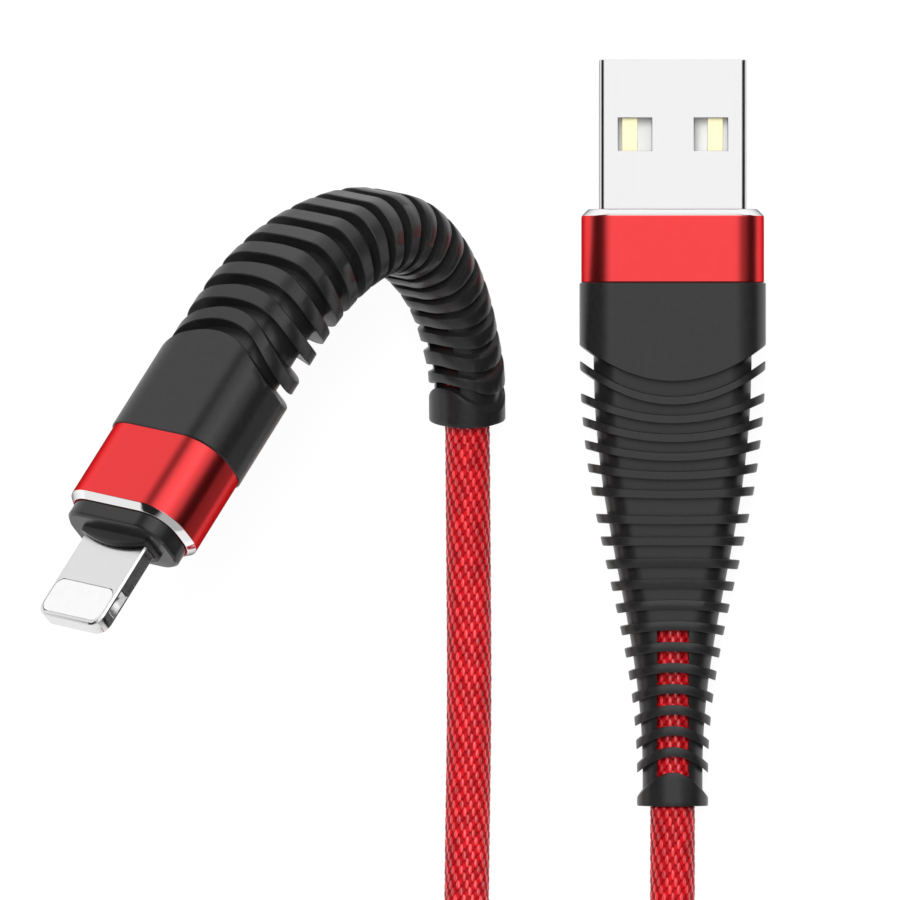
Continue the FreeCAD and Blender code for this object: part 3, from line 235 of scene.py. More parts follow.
cord = {
    "diameter": 3.7,
    "yarns": 15,            # bumps round the cord
    "rowLength": 0.61,      # from one row of bumps to the next
    "bumpWidth": 0.26,      # half a bump, in yarn spacings
    "bumpLength": 0.74,     # half a bump, in rows
    "bumpHeight": 0.13,
    "underShift": (2 / 3, 0.5), "underHeight": 0.45,            # lower bumps between, where 1 is a full bump
    "coreUnderBraid": 1.5,  # radius of the plain tube where a braided sleeve covers it
    "coreElsewhere": 1.8,
    "tubeStep": 0.3, "tubeColumns": 30, "tubeEnd": 0.02,       # the ends close to this share of the radius
    "sleeveStep": 0.1, "sleeveColumns": 120,
    "endStep": 0.12, "endColumns": 90,                          # of the braid inside the boots
    "pathPoints": 1200,
}
usbLead = [(0.0, -0.04275, 0.00415), (0.0, -0.04655, 0.00415), (0.0, -0.058, 0.0028),
           (0.00761, -0.06804, 0.00255), (0.01014, -0.0714, 0.00255)]
tipLead = [(-0.01678, -0.01112, 0.0041), (-0.01671, -0.01955, 0.00193), (-0.0166, -0.034, 0.00195),
           (-0.0168, -0.0465, 0.00205), (-0.0169, -0.058, 0.0044), (-0.02441, -0.06804, 0.0067),
           (-0.02694, -0.0714, 0.0067)]
coil = {
    "centre": (-0.0084, -0.090),
    "outerRadius": 0.026,
    "pitch": 0.00415,       # from one turn to the next, and from layer to layer
    "low": 0.00255,         # height of the lower layer's middle
    "splay": 37.0,          # degrees from the coil's right or left side to where a lead joins it
    "quarters": 26,         # quarter turns, besides both splays
    "stepsPerTurn": 20,
}


def coilRoute():
    # winds in along the lower layer and out along the upper, one pitch a turn, and climbs in the middle half
    # turn: centre + radius * (cos, sin) of the angle; the radius is divided by the cosine of half a step,
    # because the points are control points
    whole = 90 * coil["quarters"] + 2 * coil["splay"]
    count = round(whole / 360 * coil["stepsPerTurn"])
    points = []
    for step in range(count + 1):
        turned = whole * step / count
        radius = coil["outerRadius"] - coil["pitch"] * min(turned, whole - turned) / 360
        radius /= math.cos(math.pi / coil["stepsPerTurn"])
        angle = math.radians(coil["splay"] - turned)
        climb = min(max((turned - whole / 2) / 180 + 0.5, 0), 1)
        points.append((coil["centre"][0] + radius * math.cos(angle),
                       coil["centre"][1] + radius * math.sin(angle), coil["low"] + coil["pitch"] * climb))
    return points


def smoothLine(points):
    # the quadratic spline that has the route's points as its control points, read back as a dense line
    curve = bpy.data.curves.new("cordLine", "CURVE")
    curve.dimensions = "3D"
    spline = curve.splines.new("NURBS")
    spline.points.add(len(points) - 1)
    spline.points.foreach_set("co", np.column_stack([points, np.ones(len(points))]).ravel())
    spline.order_u = 3
    spline.use_endpoint_u = True
    spline.resolution_u = 24
    holder = bpy.data.objects.new("cordLine", curve)
    mesh = bpy.data.meshes.new_from_object(holder)
    line = np.empty(len(mesh.vertices) * 3)
    mesh.vertices.foreach_get("co", line)
    bpy.data.objects.remove(holder)
    bpy.data.meshes.remove(mesh)
    bpy.data.curves.remove(curve)
    return line.reshape(-1, 3)


def lengthsAlong(line):
    # running sum of the distances between the line's points
    steps = np.linalg.norm(np.diff(line, axis=0), axis=1)
    return np.concatenate([[0], np.cumsum(steps)])


def lineAt(line, lengths):
    # places on the line at the lengths given, and the line's direction there
    along = lengthsAlong(line)
    ways = np.gradient(line, along, axis=0)
    places = np.stack([np.interp(lengths, along, line[:, k]) for k in range(3)], -1)
    ways = np.stack([np.interp(lengths, along, ways[:, k]) for k in range(3)], -1)
    return places, ways / np.linalg.norm(ways, axis=1, keepdims=True)


def braidHeight(yarn, row):
    # height of the braid from 0 to 1: half ellipsoids on a lattice that shifts a third of a spacing with each
    # row, and lower ones half a row on in the gaps between them
    height = np.zeros(np.broadcast(yarn, row).shape)
    for yarnShift, rowShift, full in ((0, 0, 1.0), (*cord["underShift"], cord["underHeight"])):
        for step in (0, 1):
            near = np.floor(row - rowShift) + step
            across = (yarn - yarnShift - near / 3 + 0.5) % 1 - 0.5
            along = row - rowShift - near
            bump = 1 - (across / cord["bumpWidth"]) ** 2 - (along / cord["bumpLength"]) ** 2
            height = np.maximum(height, full * np.sqrt(np.maximum(bump, 0)))
    return height


def tubeSurface(places, ups, rights, radius, columns):
    # carries a circle along the line: place + radius * (up cos a + right sin a)
    angle = 2 * np.pi * np.arange(columns) / columns
    ring = ups[:, None] * np.cos(angle)[None, :, None] + rights[:, None] * np.sin(angle)[None, :, None]
    return places[:, None] + ring * radius[..., None]


def cordFrames(line, lengths):
    # right is up x way, made one long, and up is way x right
    places, ways = lineAt(line, lengths)
    rights = np.cross([0, 0, 1], ways)
    rights /= np.linalg.norm(rights, axis=1, keepdims=True)
    return places, np.cross(ways, rights), rights


def latticeNodes(tree, yarn, row, yarnShift, rowShift):
    # the bumps of braidHeight in nodes, with a random number for each bump
    yarn = mathNode(tree, "SUBTRACT", yarn, yarnShift)
    row = mathNode(tree, "SUBTRACT", row, rowShift)
    height, chance = None, None
    for step in (0, 1):
        near = mathNode(tree, "ADD", mathNode(tree, "FLOOR", row), step)
        lean = mathNode(tree, "DIVIDE", near, 3)
        shifted = mathNode(tree, "ADD", mathNode(tree, "SUBTRACT", yarn, lean), 0.5)
        number = mathNode(tree, "FLOORED_MODULO", mathNode(tree, "FLOOR", shifted), cord["yarns"])
        across = mathNode(tree, "SUBTRACT", mathNode(tree, "FLOORED_MODULO", shifted, 1), 0.5)
        across = mathNode(tree, "ABSOLUTE", across)
        wide = mathNode(tree, "POWER", mathNode(tree, "DIVIDE", across, cord["bumpWidth"]), 2)
        along = mathNode(tree, "ABSOLUTE", mathNode(tree, "SUBTRACT", row, near))
        long = mathNode(tree, "POWER", mathNode(tree, "DIVIDE", along, cord["bumpLength"]), 2)
        left = mathNode(tree, "SUBTRACT", mathNode(tree, "SUBTRACT", 1.0, wide), long)
        bump = mathNode(tree, "SQRT", mathNode(tree, "MAXIMUM", left, 0))
        pair = addNode(tree, "ShaderNodeCombineXYZ")
        tree.links.new(number, pair.inputs[0])
        tree.links.new(near, pair.inputs[1])
        noise = addNode(tree, "ShaderNodeTexWhiteNoise", noise_dimensions="2D")
        tree.links.new(pair.outputs[0], noise.inputs["Vector"])
        if height is None:
            height, chance = bump, noise.outputs["Value"]
            continue
        higher = mathNode(tree, "GREATER_THAN", bump, height)
        height = mathNode(tree, "MAXIMUM", bump, height)
        change = mathNode(tree, "SUBTRACT", noise.outputs["Value"], chance)
        chance = mathNode(tree, "MULTIPLY_ADD", change, higher, chance)
    return height, chance


def braidMaterial():
    # nylon yarn: the lattice of braidHeight worked out again from the lay map, with painted shade (dark red
    # base colour) in the
    #  gaps, a painted highlight (paler red base colour) on the bumps' tops, and a silky coat on top
    material, tree, shader = newMaterial("redBraid", (0.8, 0.02, 0.03), 0.45, Specular_IOR_Level=0.2,
                                         Coat_Roughness=0.28, Coat_IOR=2.0)
    lay, around, row = layPlace(tree)
    yarn = mathNode(tree, "MULTIPLY", around, cord["yarns"])
    height, chance = latticeNodes(tree, yarn, row, 0, 0)
    under, _ = latticeNodes(tree, yarn, row, *cord["underShift"])
    height = mathNode(tree, "MAXIMUM", height, mathNode(tree, "MULTIPLY", under, cord["underHeight"]))
    # painted shade and painted highlight: the base colour goes dark red in the gaps between bumps, where
    # shade falls, and pale red on the bumps' tops, where light catches them
    red = rampNode(tree, height, (0.0, (0.14, 0.0003, 0.0015)), (0.85, (0.93, 0.045, 0.055)),
                   middle=[(0.4, (0.58, 0.005, 0.012))])
    fibres = addNode(tree, "ShaderNodeTexNoise", Scale=1.0, Detail=3.0)
    stretch = addNode(tree, "ShaderNodeMapping", Scale=(260.0, 1.7, 1.0))
    tree.links.new(lay, stretch.inputs["Vector"])
    tree.links.new(stretch.outputs[0], fibres.inputs["Vector"])
    tone = addNode(tree, "ShaderNodeHueSaturation")
    bright = mathNode(tree, "MULTIPLY", spreadNode(tree, fibres.outputs["Fac"], 0.8, 1.2),
                      spreadNode(tree, chance, 0.66, 1.14))
    tree.links.new(bright, tone.inputs["Value"])
    tree.links.new(red, tone.inputs["Color"])
    tree.links.new(tone.outputs["Color"], shader.inputs["Base Color"])
    tree.links.new(spreadNode(tree, height, 0.0, 1.0, 0.5, 0.9), shader.inputs["Coat Weight"])
    total = mathNode(tree, "ADD", height, mathNode(tree, "MULTIPLY", fibres.outputs["Fac"], 0.25))
    liftNode(tree, shader, total, 0.32, 0.12 * mm)
    return material


redBraid = braidMaterial()
cordLine = smoothLine(usbLead + coilRoute() + tipLead[::-1])
cordLength = lengthsAlong(cordLine)[-1]
print("stage: cord line,", round(cordLength, 4), "m")


def cordTube(coverUsb, coverTip):
    # the whole cord as one tube, thinner under the two braided sleeves
    lengths = np.arange(0, cordLength, cord["tubeStep"] * mm)
    places, ups, rights = cordFrames(cordLine, lengths)
    covered = (lengths < coverUsb) | (lengths > cordLength - coverTip)
    radius = np.where(covered, cord["coreUnderBraid"], cord["coreElsewhere"]) * mm
    columns = cord["tubeColumns"]
    radius = np.broadcast_to(radius[:, None], (len(lengths), columns)).copy()
    radius[[0, -1]] *= cord["tubeEnd"]
    points = tubeSurface(places, ups, rights, radius, columns)
    rows = lengths / (cord["rowLength"] * mm)
    return gridMesh("cordTube", points, np.arange(columns) / columns, rows, redBraid)


def braidSleeve(name, places, ups, rights, lengths, columns):
    # the same tube with the braid in its radius: half the diameter less bumpHeight * (1 - braidHeight)
    yarn = np.arange(columns) / columns * cord["yarns"]
    row = lengths / (cord["rowLength"] * mm)
    height = braidHeight(yarn[None, :], row[:, None])
    radius = (cord["diameter"] / 2 - cord["bumpHeight"] * (1 - height)) * mm
    radius[[0, -1]] = cord["coreUnderBraid"] * mm
    points = tubeSurface(places, ups, rights, radius, columns)
    return gridMesh(name, points, np.arange(columns) / columns, row, redBraid, sharpAngle=180)


coverUsb, coverTip = 0.012, 0.046       # lengths from either boot whose braid is in the mesh
sleeveStep = cord["sleeveStep"] * mm
usbSleeveAt = np.arange(0, coverUsb, sleeveStep)
tipSleeveAt = np.arange(cordLength - coverTip, cordLength, sleeveStep)
cordPiece = cordTube(coverUsb, coverTip)
usbSleeve = braidSleeve("usbSleeve", *cordFrames(cordLine, usbSleeveAt), usbSleeveAt, cord["sleeveColumns"])
tipSleeve = braidSleeve("tipSleeve", *cordFrames(cordLine, tipSleeveAt), tipSleeveAt, cord["sleeveColumns"])
for piece in (cordPiece, usbSleeve, tipSleeve):
    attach(piece, "cord")
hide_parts("cord_usb_lead", "cord_tip_lead", "cord_coil")
print("stage: cord and sleeves")


# Boots: tapering core with bowed ribs, and near the collar windows sunk deeper than the cord's surface, which
# shows in them. Distances are from where ring meets boot, and the cord inside begins at cordStop.

boots = {
    "usb": {
        "gripWidth": 15.2, "gripThickness": 8.3, "gripCorner": 2.6, "gripProud": 0.0,
        "gripSide": 5.1, "gripMiddle": 8.1,
        "runs": ((42.75, 0.0),),
        "taperStart": 8.0, "taperEnd": 39.0,
        "firstRib": 9.65, "nearPitch": 1.53, "farRib": 19.4, "lastRib": 38.3, "ribThickness": 0.75,
        "collarWidth": 5.8, "collarSide": 0.7, "collarMiddle": 2.75, "cordStop": 6.0,
    },
    "tip": {
        "gripWidth": 11.5, "gripThickness": 7.0, "gripCorner": 3.0, "gripProud": 0.15,
        "gripSide": 7.3, "gripMiddle": 10.0,
        "runs": ((13.452, 0.0), (13.496, 38.4), (6.182, 38.4), (10.778, 38.4),     # length, turn in degrees
                 (2.623, 0.0), (2.318, 16.6), (3.0, 0.0)),
        "taperStart": 13.0, "taperEnd": 46.5,
        "firstRib": 11.8, "nearPitch": 2.1, "farRib": 24.5, "lastRib": 47.2, "ribThickness": 1.25,
        "collarWidth": 6.05, "collarSide": 1.1, "collarMiddle": 3.2, "cordStop": 4.6,
    },
}
ribs = {
    "count": 18, "nearCount": 6, "smiles": (2.9, 1.8, 1.4, 1.05, 0.7, 0.35, 0.25, 0.15),
    "bowAtCollar": 1.4, "bowAtCollarPower": 2.5,
    "grooveAtPlug": 1.15, "grooveAtCollar": 0.45, "collarFlat": 0.5, "leastCorner": 0.4,
    "windows": 7, "windowWidth": 2.56, "windowFloor": 1.2, "windowWall": 0.03, "edge": 0.07,
    "mouthWidth": 3.6, "mouthCorner": 1.79, "mouthDepth": 0.8,      # hole in the collar for the cord
    "gripRows": 12, "collarRows": 8, "windowColumns": 8, "sideColumns": 24,
}
innerFace, mouth = 1.5, 2.0     # depths past 1, the core: the face against the ring and the collar's mouth


def bootLength(boot):
    # sum of its runs
    return sum(length for length, _ in boot["runs"])


def bootSizes(boot, along, groove):
    # width, thickness and corner of the section at a distance along, and its width over the ribs: from the
    # grip's sizes to the collar's by half of 1 + cos; groove 1 is the core, 0 the rib tips
    share = np.clip((along - boot["taperStart"]) / (boot["taperEnd"] - boot["taperStart"]), 0, 1)
    full = (1 + np.cos(np.pi * share)) / 2
    collar = boot["collarWidth"]
    width = collar + (boot["gripWidth"] - collar) * full
    thickness = collar + (boot["gripThickness"] - collar) * full
    roundCorner = (collar - ribs["collarFlat"]) / 2
    corner = roundCorner + (boot["gripCorner"] - roundCorner) * full
    depth = groove * (ribs["grooveAtCollar"] + (ribs["grooveAtPlug"] - ribs["grooveAtCollar"]) * full)
    return width - 2 * depth, thickness - 2 * depth, corner * (1 - 2 * depth / thickness), width


def bootRows(boot):
    # one row of vertices each: nominal distance, depth of the groove, how far the sides lie back, window or
    # not; a rib's bow is its smile less bowAtCollar * share ^ power
    end = bootLength(boot)
    near = boot["firstRib"] + boot["nearPitch"] * np.arange(ribs["nearCount"])
    far = np.linspace(boot["farRib"], boot["lastRib"], ribs["count"] - ribs["nearCount"])
    places = np.concatenate([near, far])
    share = np.arange(ribs["count"]) / (ribs["count"] - 1)
    bows = -ribs["bowAtCollar"] * share ** ribs["bowAtCollarPower"]
    bows[:len(ribs["smiles"])] += ribs["smiles"]
    half, edge = boot["ribThickness"] / 2, ribs["edge"]
    gripBow = boot["gripMiddle"] - boot["gripSide"]
    rows = [(0.0, innerFace, 0.0, 0), (0.0, edge, 0.0, 0)]
    for step in np.linspace(0, 1, ribs["gripRows"]):
        rows.append((edge + (boot["gripMiddle"] - 2 * edge) * step, 0.0, gripBow * step, 0))
    rows += [(boot["gripMiddle"], edge, gripBow, 0), (boot["gripMiddle"], 1.0, gripBow, 0)]
    before, beforeBow = boot["gripMiddle"], gripBow
    firstWindow = ribs["count"] - ribs["windows"]
    for number, (place, bow) in enumerate(zip(places, bows)):
        window = number > firstWindow
        for step in (1 / 3, 2 / 3):
            between = before + (place - half - before) * step
            rows.append((between, 1.0, beforeBow + (bow - beforeBow) * step, window))
        if window:
            rows[-3] = rows[-3][:3] + (1,)
        rows += [(place - half, 1.0, bow, window), (place - half, edge, bow, 0),
                 (place - half + edge, 0.0, bow, 0), (place + half - edge, 0.0, bow, 0),
                 (place + half, edge, bow, 0), (place + half, 1.0, bow, 0)]
        before, beforeBow = place + half, bow
    rows[-1] = rows[-1][:3] + (1,)
    collar, collarBow = end - boot["collarMiddle"], boot["collarSide"] - boot["collarMiddle"]
    for step in (1 / 3, 2 / 3, 1):
        rows.append((before + (collar - before) * step, 1.0, beforeBow + (collarBow - beforeBow) * step, 1))
    rows += [(collar, edge, collarBow, 0), (collar + edge, 0.0, collarBow, 0)]
    for step in np.linspace(0.15, 1, ribs["collarRows"]):
        rows.append((collar + (end - edge - collar) * step, 0.0, collarBow * (1 - step), 0))
    rows += [(end, edge, 0.0, 0), (end, mouth, 0.0, 0), (end - ribs["mouthDepth"], mouth, 0.0, 0)]
    return np.array(rows, dtype=float)


def outline(width, thickness, corner, window):
    # a quarter of a rounded rectangle by its own length: flat, then corner * (sin, cos) of the angle, then
    # down the side; the window's columns at fixed widths, the rest evenly
    inner, outer = ribs["windowColumns"], ribs["sideColumns"]
    flat, quarterTurn = width / 2 - corner, corner * np.pi / 2
    whole = flat + quarterTurn + thickness / 2 - corner
    reach = ribs["windowWidth"] / 2
    x = reach * np.arange(inner + 1) / inner
    angle = np.arcsin(np.clip((x[None] - flat[:, None]) / corner[:, None], 0, 1))
    first = np.where(x[None] <= flat[:, None], x[None], flat[:, None] + corner[:, None] * angle)
    share, wall = np.arange(outer + 1) / outer, ribs["windowWall"]
    last = first[:, -1:] + wall + (whole[:, None] - first[:, -1:] - wall) * share[None]
    run = np.concatenate([first, last], axis=1)
    turned = np.clip((run - flat[:, None]) / corner[:, None], 0, np.pi / 2)
    across = np.minimum(run, flat[:, None]) + corner[:, None] * np.sin(turned)
    past = np.maximum(run - (flat + quarterTurn)[:, None], 0)
    through = (thickness / 2 - corner)[:, None] + corner[:, None] * np.cos(turned) - past
    sunk = (window[:, None] > 0) & (np.arange(run.shape[1])[None] <= inner)
    through = np.where(sunk, ribs["windowFloor"], through)
    return across, through


def wholeOutline(across, through):
    # mirrors the quarter into the closed section
    return (np.concatenate([across, across[:, -2::-1], -across[:, 1:], -across[:, -2:0:-1]], axis=1),
            np.concatenate([through, -through[:, -2::-1], -through[:, 1:], through[:, -2:0:-1]], axis=1))


def bendPlaces(boot, across, through, along):
    # back from the ring in the plug's own frame, turning down at an even rate along each run that turns: an
    # arc adds radius * (cos before - cos after) down and radius * (sin after - sin before) back
    down, back, heading, start = 0.0 * along, 0.0 * along, 0.0 * along, 0.0
    for length, turn in boot["runs"]:
        gone = np.clip(along - start, 0, length)
        if turn:
            radius = length / math.radians(turn)
            ahead = heading + gone / radius
            down = down + radius * (np.cos(heading) - np.cos(ahead))
            back = back + radius * (np.sin(ahead) - np.sin(heading))
            heading = ahead
        else:
            down, back = down + gone * np.sin(heading), back + gone * np.cos(heading)
        start += length
    return np.stack([across, through * np.cos(heading) - down, -back - through * np.sin(heading)], -1)


def toWorld(local, origin, axes):
    # origin + across * its axis + through * its axis + along * its axis
    return (origin + local @ axes) * mm


def bootPiece(name, boot, origin, axes, material):
    # sections carried along the bent line, their sides drawn back by bow * (across / half the width) ^ 2
    rows = bootRows(boot)
    nominal, groove, bow, window = rows.T
    width, thickness, corner, tips = bootSizes(boot, nominal, np.minimum(groove, 1.0))
    inset = np.maximum(groove - 1, 0) * 2
    proud = np.where((nominal <= boot["gripMiddle"]) & (groove < 0.5), boot["gripProud"], 0.0)
    width, thickness = width - inset + 2 * proud, thickness - inset + 2 * proud
    corner = np.maximum(corner - inset / 2 - proud, ribs["leastCorner"])
    width, thickness = (np.where(groove == mouth, ribs["mouthWidth"], size) for size in (width, thickness))
    corner = np.where(groove == mouth, ribs["mouthCorner"], corner)
    across, through = wholeOutline(*outline(width, thickness, corner, window))
    along = nominal[:, None] - bow[:, None] * np.clip(across / (tips[:, None] / 2), -1, 1) ** 2
    points = toWorld(bendPlaces(boot, across, through, along), origin, axes)
    columns = across.shape[1]
    return gridMesh(name, points, np.arange(columns) / columns, nominal, material, sharpAngle=38)


def rubberMaterial():
    # satin black elastomer with a fine mottle
    material, tree, shader = newMaterial("blackRubber", (0.015, 0.015, 0.0155), 0.36)
    grain(tree, shader, 2600, (0.31, 0.41), 0.003 * mm, tint=((0.013, 0.013, 0.0135), (0.018, 0.018, 0.0185)))
    return material


blackRubber = rubberMaterial()
plugFrames = {"usb": (usbOrigin, usbAxes), "tip": (tipOrigin, tipAxes)}
for plug, boot in boots.items():
    origin, axes = plugFrames[plug]
    shell = bootPiece(plug + "Boot", boot, origin, axes, blackRubber)
    ends = np.arange(boot["cordStop"], bootLength(boot), cord["endStep"])
    centre = toWorld(bendPlaces(boot, 0 * ends, 0 * ends, ends), origin, axes)
    above = toWorld(bendPlaces(boot, 0 * ends, 0 * ends + 1, ends), origin, axes) - centre
    ups = above / np.linalg.norm(above, axis=1, keepdims=True)
    ways = np.gradient(centre, axis=0)
    rights = np.cross(ups, ways)
    rights /= np.linalg.norm(rights, axis=1, keepdims=True)
    inside = braidSleeve(plug + "CordEnd", centre, ups, rights, ends * mm, cord["endColumns"])
    for piece, slot, node in ((shell, "black_rubber", plug + "_boot"),
                              (inside, "red_braid", plug + "_cord_end")):
        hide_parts(node)
        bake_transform(piece)
print("stage: boots")


# Finishes of the carried-over nodes

def steelMaterial():
    # bright steel with its grain drawn out along the shell
    material, tree, shader = newMaterial("plugSteel", (0.75, 0.75, 0.755), 0.16, metallic=1.0,
                                         Specular_Tint=(0.15, 0.15, 0.15, 1))
    grain(tree, shader, 900, (0.10, 0.22), 0.0004 * mm, stretch=(3, 0.15, 3))
    return material


def nickelMaterial():
    # plated metal, almost without grain
    material, tree, shader = newMaterial("platedNickel", (0.74, 0.74, 0.745), 0.2, metallic=1.0)
    grain(tree, shader, 1400, (0.17, 0.25), 0.00004 * mm)
    return material


def anodisedMaterial(name, origin, axes, bevelStart, bevelEnd):
    # red coat with a fine satin grain, cut away to bright metal between two distances along the plug
    red = (0.96, 0.07, 0.075)
    material, tree, shader = newMaterial(name, red, 0.34, metallic=1.0, Specular_Tint=(0.2, 0.2, 0.2, 1))
    grain(tree, shader, 3000, (0.30, 0.37), 0.0003 * mm)
    split = localPlace(tree, origin, axes)
    past = mathNode(tree, "GREATER_THAN", split.outputs[2], bevelStart * mm)
    short = mathNode(tree, "LESS_THAN", split.outputs[2], bevelEnd * mm)
    cut = mathNode(tree, "MULTIPLY", past, short)
    satin = shader.inputs["Roughness"].links[0].from_socket
    smoother = mathNode(tree, "MULTIPLY", mathNode(tree, "SUBTRACT", 0.1, satin), cut)
    tree.links.new(mathNode(tree, "ADD", satin, smoother), shader.inputs["Roughness"])
    mix = addNode(tree, "ShaderNodeMix", data_type="RGBA")
    mix.inputs[6].default_value = (*red, 1)
    mix.inputs[7].default_value = (0.92, 0.92, 0.92, 1)
    tree.links.new(cut, mix.inputs[0])
    tree.links.new(mix.outputs[2], shader.inputs["Base Color"])
    return material


def plainMaterial(name, colour, roughness, metallic=0.0, spread=0.06, scale=1500, bump=0.002, **sockets):
    # one colour with a slight mottle, for moulded and inner pieces
    material, tree, shader = newMaterial(name, colour, roughness, metallic, **sockets)
    darker = tuple(part * (1 - spread) for part in colour)
    lighter = tuple(min(part * (1 + spread), 1) for part in colour)
    grain(tree, shader, scale, (roughness * 0.8, roughness * 1.2), bump * mm, tint=(darker, lighter))
    return material


usbRed = anodisedMaterial("redAnodisedUsb", usbOrigin, usbAxes, 5.45, 5.995)
tipRed = anodisedMaterial("redAnodisedTip", tipOrigin, tipAxes, 6.8, 7.295)
finishes = {
    "plug_steel": steelMaterial(),
    "white_insulator": plainMaterial("whiteInsulator", (0.93, 0.93, 0.93), 0.25, spread=0.015),
    "gold_contact": plainMaterial("goldContact", (1.0, 0.93, 0.6), 0.2, metallic=1.0, spread=0.03,
                                  bump=0.0005),
    "inner_mould": plainMaterial("innerMould", (0.8, 0.8, 0.76), 0.5),
    "wire_red": plainMaterial("wireRed", (0.65, 0.03, 0.03), 0.35),
    "wire_white": plainMaterial("wireWhite", (0.85, 0.85, 0.85), 0.35),
    "wire_green": plainMaterial("wireGreen", (0.03, 0.35, 0.1), 0.35),
    "wire_black": plainMaterial("wireBlack", (0.02, 0.02, 0.02), 0.35),
    "crimp_brass": plainMaterial("crimpBrass", (0.8, 0.6, 0.3), 0.3, metallic=1.0),
    "circuit_board": plainMaterial("circuitBoard", (0.02, 0.18, 0.06), 0.4, spread=0.2),
    "chip_plastic": plainMaterial("chipPlastic", (0.03, 0.03, 0.03), 0.5),
    "black_plastic": plainMaterial("blackPlastic", (0.016, 0.016, 0.017), 0.3, bump=0.001),
    "tie_fabric": plainMaterial("tieFabric", (0.02, 0.02, 0.022), 0.85, spread=0.4, scale=4000,
                                bump=0.05),
    "black_rubber": blackRubber,
    "red_braid": redBraid,
}
slotOf = {part["node"]: part["material_slot"] for part in frame["record"]["subparts"]}
ownFinish = {"usb_ring": usbRed, "tip_ring": tipRed, "tip_blade": nickelMaterial()}
for node, thing in frame["nodes"].items():
    for holder in thing.material_slots:
        holder.material = ownFinish.get(node) or finishes[slotOf[node]]
print("stage: finishes")


# Plug pieces with their edges eased: rounding in millimetres

easedEdges = {
    "usb_shell": 0.06, "usb_ring": 0.1, "usb_insulator": 0.08, "usb_contacts": 0.03,
    "tip_ring": 0.1, "tip_blade": 0.07, "tip_insert": 0.02, "tip_cap": 0.1,
}
easing = {"steps": 3, "sharper": 35, "shadedSharp": 38}       # steps of a rounding, and angles in degrees
insertReach = {"across": 3.07, "from": 12.9, "to": 16.84}     # blade and insert meet flush and stay sharp
notchReach = {"through": 0.5, "from": 13.0, "to": 15.6}       # the blade's side notches stay sharp as well
boss = {"foot": 8.85, "start": 9.3, "halfWidth": 3.7, "bow": 0.75, "cuts": 33}      # bowed front of the cap


def tipLocal(point):
    # a place in the scene as across, through and along the phone plug
    return (np.array(point) / mm - tipOrigin) @ tipAxes.T


def bowBoss(solid):
    # cuts the boss into strips across its width and draws its front back by bow * (across / halfWidth) ^ 2
    for cut in np.linspace(-boss["halfWidth"], boss["halfWidth"], boss["cuts"]):
        faces = [face for face in solid.faces if tipLocal(face.calc_center_median())[2] > boss["foot"]]
        edges = {edge for face in faces for edge in face.edges}
        corners = {vertex for face in faces for vertex in face.verts}
        bmesh.ops.bisect_plane(solid, geom=[*corners, *edges, *faces], plane_no=tipAxes[0],
                               plane_co=(tipOrigin + tipAxes[0] * cut) * mm)
    for vertex in solid.verts:
        across, _, along = tipLocal(vertex.co)
        if along > boss["start"]:
            vertex.co -= Vector(tipAxes[2] * boss["bow"] * (across / boss["halfWidth"]) ** 2 * mm)


def easedCopy(node, rounding):
    # the node's triangles merged into flat faces, with its sharp edges rounded
    solid = bmesh.new()
    solid.from_mesh(frame["nodes"][node].data)
    bmesh.ops.remove_doubles(solid, verts=solid.verts, dist=1e-6)
    bmesh.ops.dissolve_limit(solid, angle_limit=math.radians(1), verts=solid.verts, edges=solid.edges)
    if node == "tip_cap":
        bowBoss(solid)
    sharp = []
    for edge in solid.edges:
        across, through, along = tipLocal((edge.verts[0].co + edge.verts[1].co) / 2)
        flush = abs(across) < insertReach["across"] and insertReach["from"] < along < insertReach["to"]
        notch = abs(through) < notchReach["through"] and notchReach["from"] < along < notchReach["to"]
        bowed = node == "tip_cap" and along > boss["foot"] - boss["bow"]
        turned = edge.is_manifold and edge.calc_face_angle(0) > math.radians(easing["sharper"])
        if turned and not (flush or notch or bowed):
            sharp.append(edge)
    bmesh.ops.bevel(solid, geom=sharp, offset=rounding * mm, segments=easing["steps"], profile=0.5,
                    affect="EDGES", clamp_overlap=True)
    for face in solid.faces:
        front = node == "tip_cap" and tipLocal(face.calc_center_median())[2] > boss["foot"]
        face.smooth = not front
    mesh = bpy.data.meshes.new(node + "Eased")
    solid.to_mesh(mesh)
    solid.free()
    mesh.set_sharp_from_angle(angle=math.radians(easing["shadedSharp"]))
    mesh.materials.clear()
    mesh.materials.append(ownFinish.get(node) or finishes[slotOf[node]])
    piece = addObject(node + "Eased", mesh)
    normals = piece.modifiers.new("normals", "WEIGHTED_NORMAL")
    normals.keep_sharp = True
    return piece


for node, rounding in easedEdges.items():
    piece = easedCopy(node, rounding)
    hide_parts(node)
    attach(piece, node.split("_")[0] + "_head")
print("stage: plug pieces")


# Straps round the coil: one length of hook and loop tape each, its end lying over its start on top

strap = {
    "gauge": 0.28, "width": 7.8, "corner": 2.2,
    "inset": 0.6,           # from the solid's outer faces in to the tape's inner face
    "steps": 300, "overlap": 0.2, "lapRise": 1.04, "lapRun": 0.05,      # overlap and run: shares of the loop
    "tipNarrowing": 0.35, "tipRun": 0.02,
    "acrossShares": (-1, -0.97, -0.5, 0, 0.5, 0.97, 1), "throughShares": (0.3, 0.5, 0.5, 0.5, 0.5, 0.5, 0.3),
    "weaveAcross": 46, "weaveLength": 0.55,
}


